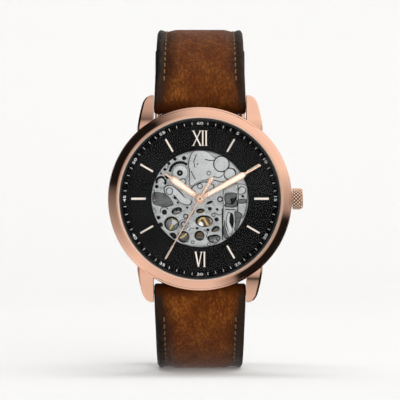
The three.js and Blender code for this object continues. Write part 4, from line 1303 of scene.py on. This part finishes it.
def build_train():
    def toothed(
        name, at, teeth, radius, hub, arms, front, back, look, body, replaces, arbor, pinion=None,
        slot="gilt_brass", slant=0.0
    ):
        outlines = [
            gear(teeth, radius - 0.14, radius + 0.02, slant), *windows(hub, radius * 0.72, arms, 0.5)
        ]
        parts = [plate(name + "_rim", outlines, front, back, look, body, replaces, slot, at=at, bevel=0.03)]
        parts.append(
            turned(
                name + "_arbor", [(0, arbor[1]), (arbor[0], arbor[1]), (arbor[0], arbor[2]), (0, arbor[2])],
                "steel", body, at=at, steps=20
            )
        )
        if pinion:
            leaves, r, a, b = pinion
            parts.append(
                plate(name + "_pinion", [gear(leaves, r * 0.72, r)], a, b, "steel", body, at=at, bevel=0.02)
            )
        return joined(name + "_toothed", parts)

    toothed(
        "third_wheel", THIRD_AT, 75, 3.9, 0.9, 6, -5.05, -4.85, "gilt", "third_wheel", "third_wheel",
        (0.2, -6.9, -3.7), (10, 0.42, -5.65, -5.15)
    )
    toothed(
        "fourth_wheel", (0, 0), 84, 3.5, 0.8, 4, -4.6, -4.4, "gilt", "seconds_hand", "fourth_wheel",
        (0.15, -10.3, -3.7), (10, 0.42, -5.15, -4.55)
    )
    toothed(
        "escape_wheel", ESCAPE_AT, 15, 2.03, 0.5, 4, -4.15, -3.95, "steel", "escape_wheel", "escape_wheel",
        (0.12, -6.9, -3.7), (7, 0.26, -4.7, -4.2), "steel", 0.12
    )
    toothed(
        "centre_wheel", (0, 0), 80, 3.93, 0.8, 4, -5.5, -5.25, "gilt", "centre_wheel", "centre_wheel",
        (0.32, -8.9, -5.3), (12, 0.85, -6.9, -6.4)
    )
    drum = plate(
        "barrel_teeth", [gear(72, 5.2, 5.36), circle(0, 0, 0.6, 24)], -6.9, -6.45, "gilt",
        "mainspring_barrel", "mainspring_barrel", "gilt_brass", at=BARREL_AT, bevel=0.03
    )
    lid = turned(
        "barrel_lid", [(0.6, -6.5), (4.9, -6.5), (4.9, -5.8), (4.75, -5.7), (0.6, -5.7)], "gilt",
        "mainspring_barrel", at=BARREL_AT
    )
    joined("barrel_drum", [drum, lid])
    ratchet = plate(
        "ratchet_teeth", [gear(36, 2.32, 2.48), circle(0, 0, 0.3, 16)], -4.1, -3.9, "brushed", "case",
        "ratchet_wheel", "steel", at=BARREL_AT, bevel=0.02
    )
    arbor = turned(
        "ratchet_arbor", [(0, -8.0), (0.5, -8.0), (0.5, -3.7), (0, -3.7)], "steel", "case", at=BARREL_AT,
        steps=24
    )
    joined("ratchet_wheel_set", [ratchet, arbor])
    joined(
        "cannon_pinion_set",
        [
            turned(
                "cannon_tube", [(0.37, -9.8), (0.6, -9.8), (0.6, -7.2), (0.37, -7.2)], "steel",
                "minute_hand", "cannon_pinion", "steel", steps=32
            ),
            plate(
                "cannon_leaves", [gear(12, 0.46, 0.58), circle(0, 0, 0.37, 24)], -8.6, -7.2, "steel",
                "minute_hand", bevel=0.01
            ),
        ]
    )
    joined(
        "hour_wheel_set",
        [
            turned(
                "hour_pipe", [(0.66, -9.3), (0.9, -9.3), (0.9, -8.2), (0.66, -8.2)], "nickel_bright",
                "hour_hand", "hour_wheel", "nickel_plate", steps=32
            ),
            plate(
                "hour_teeth", [gear(40, 1.76, 1.92), circle(0, 0, 0.7, 24)], -8.44, -8.24, "nickel_bright",
                "hour_hand", bevel=0.02
            ),
        ]
    )
    joined(
        "minute_wheel_set",
        [
            plate(
                "minute_teeth", [gear(36, 1.6, 1.76), *windows(0.6, 1.3, 4, 0.3)], -8.05, -7.87,
                "nickel_bright", "minute_wheel", "minute_wheel", "nickel_plate", at=MINUTE_AT, bevel=0.02
            ),
            plate(
                "minute_pinion", [gear(10, 0.28, 0.4)], -8.44, -7.95, "steel", "minute_wheel", at=MINUTE_AT,
                bevel=0.01
            ),
        ]
    )


def build_escapement():
    direction = math.atan2(BALANCE_AT[1] - PALLET_AT[1], BALANCE_AT[0] - PALLET_AT[0])
    fork = [
        (-0.35, -1.4), (-0.75, -1.15), (-0.25, -0.4), (-0.25, 0.4), (-0.75, 1.15), (-0.35, 1.4),
        (0.3, 0.45), (1.7, 0.12), (1.95, 0.28), (2.15, 0.22), (2.0, 0.06), (2.0, -0.06), (2.15, -0.22),
        (1.95, -0.28), (1.7, -0.12), (0.3, -0.45)
    ]
    fork = swung(fork, direction)
    parts = [
        plate(
            "fork_blade", [fork], -4.15, -3.95, "steel", "pallet_fork", "pallet_fork", "steel",
            at=PALLET_AT, bevel=0.03
        ),
        turned(
            "fork_arbor", [(0, -5.9), (0.12, -5.9), (0.12, -3.7), (0, -3.7)], "steel", "pallet_fork",
            at=PALLET_AT, steps=16
        ),
    ]
    for sign in (1, -1):
        x, y = swung([(-0.6, 1.22 * sign)], direction)[0]
        parts.append(
            plate(
                f"pallet_stone_{sign}", [oval(x, y, 0.3, 0.13, math.degrees(direction) + 90 * sign, 12)],
                -4.17, -3.93, "ruby", "pallet_fork", at=PALLET_AT, bevel=0.01
            )
        )
    joined("pallet_fork_set", parts)

    rim = plate(
        "balance_rim", [circle(0, 0, 4.3, 96), *windows(0.5, 3.78, 3, 0.5, 24)], -6.6, -6.25, "gilt",
        "balance_wheel", "balance_wheel", "gilt_brass", at=BALANCE_AT, bevel=0.06
    )
    parts = [rim]
    for i in range(12):
        x, z = polar(4.03, 30 * i + 15)
        parts.append(
            turned(
                f"balance_screw_{i}", [(0, -6.72), (0.2, -6.72), (0.24, -6.66), (0.24, -6.55), (0, -6.55)],
                "gold_screw", "balance_wheel", at=(BALANCE_AT[0] + x, BALANCE_AT[1] + z), steps=16
            )
        )
    staff = [
        (0, -6.9), (0.15, -6.9), (0.15, -6.62), (0.6, -6.62), (0.6, -6.24), (0.15, -6.2), (0.15, -4.2),
        (0.45, -4.2), (0.45, -3.95), (0.15, -3.95), (0.15, -3.75), (0, -3.75)
    ]
    parts.append(turned("balance_staff", staff, "steel", "balance_wheel", at=BALANCE_AT, steps=28))
    joined("balance_wheel_set", parts)

    turns, steps = 8.5, 480
    outer, inner = [], []
    for i in range(steps + 1):
        share = i / steps
        a = TAU * turns * share
        for line, offset in ((outer, 0.035), (inner, -0.035)):
            r = 0.42 + 1.82 * share + offset
            line.append((r * math.cos(a), r * math.sin(a)))
    plate(
        "hairspring_coil", [outer + inner[::-1]], -5.58, -5.42, "steel", "balance_wheel", "hairspring",
        "steel", at=BALANCE_AT, bevel=0.005
    )


# ---- Movement, back -------------------------------------------------------------------------


def build_back_works():
    arbor_holes = [(THIRD_AT, 0.5), ((0, 0), 0.45), (ESCAPE_AT, 0.4), (PALLET_AT, 0.36)]
    room = circle(BALANCE_AT[0], BALANCE_AT[1], BALANCE_ROOM_R, 60)
    within = [math.hypot(*p) < BRIDGE_R for p in room]
    start = next(i for i in range(len(room)) if within[(i + 1) % len(room)] and not within[i])
    inside = [p for p in room[start + 1:] + room[:start + 1] if math.hypot(*p) < BRIDGE_R]
    a0, a1 = (math.degrees(math.atan2(p[1], p[0])) for p in (inside[-1], inside[0]))
    rim = circle(0, 0, BRIDGE_R, 120, a0, a1 + (360 if a1 < a0 else 0))
    bridge = plate(
        "bridge_plate", [inside + rim[1:-1]], BRIDGE_FRONT, BRIDGE_BACK, "striped", "case", "train_bridge",
        "nickel_plate", bevel=0.1, resolution=2
    )
    parts = [bridge]
    for i, (at, radius) in enumerate(arbor_holes):
        parts.append(jewel(f"bridge_jewel_{i}", at, radius, BRIDGE_BACK, "case", -1))
    for i, (radius, degrees) in enumerate(
        [(11, 20), (11, 85), (11, 170), (11, 290), (11, 340), (7, 60), (6.5, -30)]
    ):
        parts.append(
            screw(f"bridge_screw_{i}", polar(radius, degrees), 0.75, -3.2, "case", degrees * 1.7, "steel")
        )
    joined("train_bridge_set", parts)

    out = math.atan2(BALANCE_AT[1], BALANCE_AT[0])
    c, s = math.cos(out), math.sin(out)
    cock = wavy([(-1.0, -0.8), (1.6, -1.1), (4.1, -1.9), (4.1, 1.9), (1.6, 1.1), (-1.0, 0.8)])
    cock = swung(cock, out)
    joined(
        "balance_cock_set",
        [
            plate(
                "cock_plate", [cock], BRIDGE_FRONT, BRIDGE_BACK, "striped", "case", "balance_cock",
                "nickel_plate", at=BALANCE_AT, bevel=0.1, resolution=2
            ),
            jewel("cock_jewel", BALANCE_AT, 0.6, BRIDGE_BACK, "case", -1),
            screw(
                "cock_screw", (BALANCE_AT[0] + 3.2 * c, BALANCE_AT[1] + 3.2 * s), 0.65, -3.2, "case", 40,
                "steel"
            ),
        ]
    )

    def sector(inner, margin, inner_margin, outer=12.4):
        return circle(0, 0, outer, 80, 180 + margin, 360 - margin) + circle(
            0, 0, inner, 40, 180 + inner_margin, 360 - inner_margin
        )[::-1]

    arms = [
        circle(0, 0, 9.2, 16, 180 + a, 180 + b) + circle(
            0, 0, 3.4, 8, 180 + a + 4, 180 + b - 4
        )[::-1] for a,
        b in ((14, 52), (64, 116), (128, 166))
    ]
    web = plate(
        "rotor_web", [sector(1.6, 5.5, 5.5), *arms], -2.7, -2.3, "striped", "rotor", "rotor", "steel",
        bevel=0.05
    )
    weight = plate(
        "rotor_weight", [sector(9.8, 5.5, 7)], -2.75, -1.6, "striped", "rotor", bevel=0.15, resolution=3
    )
    hub = turned(
        "rotor_hub", [(1.3, -2.75), (2.2, -2.75), (2.2, -2.2), (2.1, -2.1), (1.3, -2.1)], "steel", "rotor",
        steps=60
    )
    joined("rotor_set", [web, weight, hub])
    post = turned(
        "post", [(0, -2.95), (1.2, -2.95), (1.2, -1.95), (1.8, -1.95), (1.8, -1.7), (1.7, -1.6), (0, -1.6)],
        "steel", "case", "rotor_post", "steel", steps=60
    )
    heads = [
        screw(f"post_screw_{i}", polar(1.05, 90 + 120 * i), 0.36, -1.72, "case", 35 * i, "gold_screw")
        for i in range(3)
    ]
    joined("rotor_post_set", [post, *heads])


# ---- Crown ----------------------------------------------------------------------------------

STEM_Y = -5.6
STEM = Matrix.Translation((0, STEM_Y, 0)) @ Matrix.Rotation(-math.pi / 2, 4, "Z")  # takes a lathe's +Y to +X


def build_crown():
    around, along, cells, twist = 288, 28, 18, 2.6
    low, high, radius = 22.08, 24.3, 2.3
    verts, faces, lifts = [], [], []
    for j in range(along + 1):
        t = j / along
        edge = min(1, 7 * min(t, 1 - t) + 0.1)
        for i in range(around):
            u, v = i / around * cells, t * twist
            near = min(abs(((u + v) % 1) - 0.5), abs(((u - v) % 1) - 0.5)) * 2  # 0 at the middle of a groove
            lift = min(1, near / 0.5)
            r = radius + 0.28 * edge * lift
            a = TAU * i / around
            verts.append((low + (high - low) * t, r * math.cos(a), r * math.sin(a)))
            lifts.append(lift)
    grooves = []
    for j in range(along):
        for i in range(around):
            k = (i + 1) % around
            face = (j * around + i, j * around + k, (j + 1) * around + k, (j + 1) * around + i)
            faces.append(face)
            grooves.append(sum(lifts[v] for v in face) / 4 < 0.55)
    place = Matrix.Translation((0, STEM_Y, 0))
    grip = make(
        "crown_grip", verts, faces, ["rose_satin", "rose_groove_shade"], "crown", "crown", "rose_gold", place, 40
    )
    # Faces down in the grooves take the dark rose gold: painted shade in the knurl.
    for face, groove in zip(grip.data.polygons, grooves):
        face.material_index = int(groove)
    cap = [
        (0, 24.0), (1.75, 24.0), (1.75, 22.08), (2.26, 22.08), (2.28, 22.12), (2.28, 24.2), (2.42, 24.28),
        (2.44, 24.4), (2.3, 24.52), (2.1, 24.58), (1.85, 24.56), (1.8, 24.6), (0, 24.68)
    ]
    joined("crown_shell", [grip, turned("crown_cap", cap, "rose", "crown", matrix=STEM, steps=96)])
    stem = [
        (0, 6.5), (0.4, 6.5), (0.45, 6.6), (0.45, 6.9), (1.15, 6.9), (1.15, 8.1), (0.5, 8.1), (0.5, 8.6),
        (1.3, 8.6), (1.3, 9.4), (0.5, 9.4), (0.5, 23.9), (0, 23.9)
    ]
    turned("stem_rod", stem, "steel", "crown", "winding_stem", "steel", matrix=STEM, steps=40)


# ---- Strap ----------------------------------------------------------------------------------

ARC_R = 34
ARC_Z = 40.5 - ARC_R
ARC_Y = BAR_Y + math.sqrt(ARC_R**2 - (BAR_Z - ARC_Z) ** 2)
ARC_START = math.atan2(BAR_Z - ARC_Z, BAR_Y - ARC_Y)
BUCKLE_STRAP, TAIL_STRAP, TIP = 75, 105, 8


def strap_angle(along):
    return ARC_START - along / ARC_R


def thickness(along):
    return 4.2 - 1.3 * min(along / 14, 1) - 0.55 * along / 105


def half_width(along, tip_from=math.inf):
    straight = 10.85 - 0.0145 * min(along, BUCKLE_STRAP) + 0.12 * max(0.0, 1 - along / 12)
    if along <= tip_from:
        return straight
    share = (along - tip_from) / TIP
    return straight * math.sqrt(max(0.0, 1 - 0.94 * share**2))


def strap_point(x, along, out, side):
    """A point on the strap: across, along from the spring bar, and out from its middle surface."""
    a = strap_angle(along)
    r = ARC_R + out
    return (x, ARC_Y + r * math.cos(a), side * (ARC_Z + r * math.sin(a)))


def worn_corner(inset):
    """How much the outer face is rounded off this far in from its edge."""
    return 0.5 * max(0, 1 - inset / 0.45) ** 2


def top_height(x, half, along):
    """How far the outer face stands above the middle surface: padded centre, sewn channel, edge bead."""
    t = thickness(along) / 2
    d = half - abs(x)
    pad = min(1, max(0, (d - 2.5) / 2.2))
    pad = pad * pad * (3 - 2 * pad)
    bead = math.exp(-(((d - 0.75) / 0.7) ** 2))
    channel = math.exp(-(((d - STITCH_INSET) / 0.4) ** 2))
    swell = min(1, along / 6)
    low = t - 0.38 * swell
    return low + (t - low) * max(pad, bead * 0.8) - 0.14 * channel * swell - worn_corner(d)


BUCKLE_AT = strap_point(0, BUCKLE_STRAP, 0, 1)
BUCKLE_HOLE_R = 0.85
BAR_HOLE_R = 0.85
STITCH_INSET, STITCH_SLANT, STITCH_LONG, STITCH_PITCH, THREAD_R = 2.15, 0.12, 1.8, 2.35, 0.18
SLOT_HALF, SLOT_REACH = 1.4, 3  # the slot for the buckle's tongue, across the strap and past the bar
TAIL_HOLES, FIRST_HOLE, HOLE_PITCH, HOLE_R, HOLE_LONG = 7, 54, 6, 0.85, 1.15
FOLD_ROWS = 9
NOSE_R = 2.1  # the leather folds round the spring bar at this radius
NOSE_ROWS = 16


def nose_point(x, turned_by, radius, side):
    """A point on the fold round the spring bar, by its turn past the end of the arc."""
    a = ARC_START + turned_by
    return (x, BAR_Y + radius * math.cos(a), side * (BAR_Z + radius * math.sin(a)))


def fold_point(x, turned_by, radius):
    """A point on the fold round the buckle bar, by its turn past the end of the arc."""
    a = strap_angle(BUCKLE_STRAP) - turned_by
    return (x, BUCKLE_AT[1] + radius * math.cos(a), BUCKLE_AT[2] + radius * math.sin(a))


def strap_ring(half, t, top, lining):
    """(across, height, material) of the points round a section: outer face, edge, lining, edge."""
    across = 48
    ring = []
    for i in range(across + 1):  # the points are closer together near the edges
        s = math.sin((i / across - 0.5) * math.pi)
        x = half * (0.25 * (2 * i / across - 1) + 0.75 * s)
        ring.append((x, top(x), 0))
    edge = [(half + 0.02, 0.45), (half + 0.03, 0.0), (half, -0.5), (half - 0.25, -0.92)]
    levels = [lining + (v + 1) / 2 * (t - lining) for _, v in edge]
    ring += [(x, y, 1) for (x, _), y in zip(edge, levels)]
    ring += [((half - 0.55) * (1 - 2 * i / 12), lining, 2) for i in range(13)]
    ring += [(-x, y, 1) for (x, _), y in reversed(list(zip(edge, levels)))]
    return ring


def bored(obj, cutters):
    """Cuts closed (verts, faces) shapes out of a strap half; their walls are painted as its edges are."""
    verts, faces = [], []
    for its_verts, its_faces in cutters:
        start = len(verts)
        verts += [Vector(v) * MM for v in its_verts]
        faces += [tuple(start + i for i in f) for f in its_faces]
    mesh = bpy.data.meshes.new("cutter")
    mesh.from_pydata(verts, [], faces)
    bm = bmesh.new()
    bm.from_mesh(mesh)
    bmesh.ops.recalc_face_normals(bm, faces=bm.faces)
    bm.to_mesh(mesh)
    bm.free()
    mesh.materials.append(LOOKS["edge"])
    cutter = bpy.data.objects.new("cutter", mesh)
    scene.collection.objects.link(cutter)
    m = obj.modifiers.new("bored", "BOOLEAN")
    m.operation, m.solver, m.material_mode, m.object = "DIFFERENCE", "EXACT", "TRANSFER", cutter
    m.use_self = True
    result = bpy.data.meshes.new_from_object(obj.evaluated_get(bpy.context.evaluated_depsgraph_get()))
    obj.modifiers.clear()
    obj.data = result
    obj.data.set_sharp_from_angle(angle=math.radians(60))
    bpy.data.objects.remove(cutter)


def prism(outline, place):
    """A closed shape between two copies of an outline, given by place(x, y, end) for each end."""
    n = len(outline)
    verts = [place(x, y, end) for end in (-1, 1) for x, y in outline]
    faces = [tuple(range(n)), tuple(range(n, 2 * n))]
    faces += [(i, (i + 1) % n, n + (i + 1) % n, n + i) for i in range(n)]
    return verts, faces


def tongue_slot():
    """The opening in the strap's end that the buckle's tongue turns in."""
    outline = [(SLOT_HALF * x, SLOT_REACH * y) for x, y in ((-1, -1), (1, -1), (1, 1), (-1, 1))]
    return prism(outline, lambda x, y, end: (x, BUCKLE_AT[1] + SLOT_REACH * end, BUCKLE_AT[2] + y))


def tail_holes():
    """Oval holes along the tail for the buckle's tongue."""
    cutters = []
    for i in range(TAIL_HOLES):
        along = FIRST_HOLE + HOLE_PITCH * i
        ring = circle(0, 0, HOLE_R, 20)
        cutters.append(
            prism(ring, lambda x, y, end, at=along: strap_point(x, at + y * HOLE_LONG, 3 * end, -1))
        )
    return cutters


def build_strap_half(name, side, length, tip_from, body, cad, look, cutters):
    rows = int(length / 0.9)
    verts, uvs, marks = [], [], []
    for j in range(NOSE_ROWS + rows + 1):
        if j < NOSE_ROWS:
            turned_by = math.pi * (1 - j / NOSE_ROWS)
            half = half_width(0)
            ring = strap_ring(half, NOSE_R, lambda x: NOSE_R - worn_corner(half - abs(x)), BAR_HOLE_R)
            verts += [nose_point(x, turned_by, out, side) for x, out, _ in ring]
            along = -turned_by * NOSE_R
        else:
            along = length * (j - NOSE_ROWS) / rows
            half, t = half_width(along, tip_from), thickness(along) / 2
            ring = strap_ring(half, t, lambda x: top_height(x, half, along), -t)
            verts += [strap_point(x, along, out, side) for x, out, _ in ring]
        uvs += [(x / half, along / 10) for x, _, _ in ring]
        marks = [m for _, _, m in ring]
    if tip_from == math.inf:
        half, end = half_width(length), thickness(length) / 2
        for j in range(1, FOLD_ROWS):
            turned_by = math.pi * j / FOLD_ROWS
            ring = strap_ring(half, end, lambda x: top_height(x, half, length), BUCKLE_HOLE_R)
            verts += [fold_point(x, turned_by, out) for x, out, _ in ring]
            uvs += [(x / half, (length + turned_by * end) / 10) for x, _, _ in ring]
    n = len(marks)
    total = len(verts) // n
    faces, face_marks = [], []
    for j in range(total - 1):
        for i in range(n):
            k = (i + 1) % n
            faces.append((j * n + i, j * n + k, (j + 1) * n + k, (j + 1) * n + i))
            pair = {marks[i], marks[k]}
            face_marks.append(1 if 1 in pair else max(pair))
    faces += [tuple(range(n)), tuple(range((total - 1) * n, total * n))]
    face_marks += [1, 1]
    mesh = bpy.data.meshes.new(name)
    mesh.from_pydata([Vector(v) * MM for v in verts], [], faces)
    layer = mesh.uv_layers.new(name="across")
    for loop in mesh.loops:
        layer.data[loop.index].uv = uvs[loop.vertex_index]
    for polygon, mark in zip(mesh.polygons, face_marks):
        polygon.material_index = mark
    obj = finish_piece(name, mesh, [look, "edge", "lining"], body, cad, "leather", sharp=60)
    bored(obj, cutters)


def stitch_verts(points, radius):
    """A thread lying along a few points, as a tube that dips into the leather at both ends."""
    verts, faces = [], []
    n = 8
    for i, p in enumerate(points):
        ahead = Vector(points[min(i + 1, len(points) - 1)]) - Vector(points[max(i - 1, 0)])
        quat = ahead.to_track_quat("Z", "Y")
        end = i in (0, len(points) - 1)
        for j in range(n):
            a = TAU * j / n
            verts.append(
                Vector(p) + quat @ Vector((math.cos(a), math.sin(a), 0)) * radius * (0.45 if end else 1)
            )
    for i in range(len(points) - 1):
        for j in range(n):
            k = (j + 1) % n
            faces.append((i * n + j, i * n + k, (i + 1) * n + k, (i + 1) * n + j))
    faces += [tuple(range(n)), tuple(range((len(points) - 1) * n, len(points) * n))]
    return verts, faces


def build_stitching(name, side, start, stop, tip_from, body):
    verts, faces = [], []
    for sign in (-1, 1):
        along = start
        while along < stop:
            points = []
            for k in range(7):
                t = k / 6
                l = along + STITCH_LONG * t
                half = half_width(l, tip_from)
                x = sign * (half - STITCH_INSET + STITCH_SLANT * (t - 0.5))
                lift = 0.16 * math.sin(math.pi * t) - 0.1
                points.append(strap_point(x, l, top_height(x, half, l) + lift, side))
            v, f = stitch_verts(points, THREAD_R)
            start_index = len(verts)
            verts += v
            faces += [tuple(start_index + i for i in q) for q in f]
            along += STITCH_PITCH
    make(name, verts, faces, "thread", body)


def keeper(name, along, body, cad):
    half, wall, length = half_width(along) + 0.42, 0.9, 4.4

    def box(w, low, high, r):
        corners = [
            (w - r, low + r, -90), (w - r, high - r, 0), (r - w, high - r, 90), (r - w, low + r, 180)
        ]
        return [p for x, y, a in corners for p in circle(x, y, r, 6, a, a + 90)]

    outlines = [box(half + wall, ARC_R - 2.7, ARC_R + 5, 1.2), box(half, ARC_R - 1.75, ARC_R + 4.05, 0.5)]
    mesh = flat_mesh(outlines, length, 0.3, 3)
    layer = mesh.uv_layers.new(name="across")
    for loop in mesh.loops:
        z = mesh.vertices[loop.vertex_index].co.z / MM
        layer.data[loop.index].uv = (0.35 + 0.55 * abs(z) / (length / 2), 3 + z / 10)
    place = Matrix.Translation((0, ARC_Y, ARC_Z)) @ Matrix.Rotation(strap_angle(along), 4, "X")
    return finish_piece(name, mesh, "leather", body, cad, "leather", place, 40)


def build_buckle():
    inner = half_width(BUCKLE_STRAP) + 0.25
    outer = inner + 1.5
    outline = [
        (inner, 1.5), *circle(inner - 1.5, -6.8, 1.5, 8, 0, -90),
        *circle(1.5 - inner, -6.8, 1.5, 8, -90, -180), (-inner, 1.5), (-outer, 1.5),
        *circle(3 - outer, -7.2, 3, 12, 180, 270), *circle(outer - 3, -7.2, 3, 12, 270, 360), (outer, 1.5)
    ]
    mesh = flat_mesh([outline], 1.8, 0.5, 4)
    place = Matrix.Translation(BUCKLE_AT) @ UPRIGHT
    finish_piece("buckle_loop", mesh, "rose", "buckle", "buckle_frame", "rose_gold", place)
    tongue = [
        (0.1, 1.3), (-1.2, 0.2), (-3.5, 1.1), (-8, 1.1), (-10.9, 1.05), (-10.9, 1.8), (-8, 2), (-3.5, 2)
    ]
    blade = flat_mesh([tongue], 2, 0.3, 3)
    # The plate's x is the watch's z, its y the watch's y, and its thickness lies across the strap.
    turn = Matrix(((0, 0, 1, 0), (0, 1, 0, 0), (1, 0, 0, 0), (0, 0, 0, 1)))
    blade = finish_piece(
        "tongue_blade", blade, "rose", "buckle_tongue", "buckle_tongue", "rose_gold",
        Matrix.Translation(BUCKLE_AT) @ turn
    )
    across = Matrix.Translation(BUCKLE_AT) @ Matrix.Rotation(-math.pi / 2, 4, "Z")
    eye = turned(
        "tongue_eye", [(0.85, -1), (1.2, -1), (1.35, -0.85), (1.35, 0.85), (1.2, 1), (0.85, 1)], "rose",
        "buckle_tongue", matrix=across, steps=40
    )
    joined("buckle_tongue_set", [blade, eye])


# ---- CAD nodes that are shown as they are ---------------------------------------------------

CARRIED = {
    "case_back_gasket": "rubber", "crown_gasket": "rubber", "crown_tube": "steel", "spring_bar_12": "steel",
    "spring_bar_6": "steel", "buckle_bar": "steel", "movement_holder": "holder",
}


def dress_carried_nodes():
    for node, look in CARRIED.items():
        obj = frame["nodes"][node]
        obj.data.materials.clear()
        obj.data.materials.append(LOOKS[look])


# ---- The whole scene ------------------------------------------------------------------------

add_camera()
add_world()
add_light("front", (0.3, -1.2, 0.0), (0, 0, 0), 0.45, 16)
add_sun("overhead", (0, -0.42, -0.91), 56, 3.3)
add_floor(LOOKS["floor"])
build_case()
build_case_back()
build_chapter_ring()
build_dial()
build_markers()
build_hands()
build_main_plate()
build_dial_side()
build_train()
build_escapement()
build_back_works()
build_crown()
build_strap_half(
    "strap_12_leather", 1, BUCKLE_STRAP, math.inf, "strap_12", "strap_12", "leather", [tongue_slot()]
)
# The lower strap takes the lighter leather: painted light.
build_strap_half(
    "strap_6_leather", -1, TAIL_STRAP, TAIL_STRAP - TIP, "strap_6", "strap_6", "leather_tail_lightened", tail_holes()
)
build_stitching("strap_12_stitches", 1, 6.1, 70, math.inf, "strap_12")
build_stitching("strap_6_stitches", -1, 6.2, 95, TAIL_STRAP - TIP, "strap_6")
keeper("keeper_loose", 60, "loose_keeper", "loose_keeper")
keeper("keeper_fixed", 69.5, "strap_12", "fixed_keeper")
build_buckle()
dress_carried_nodes()

scene.view_settings.view_transform = "Standard"
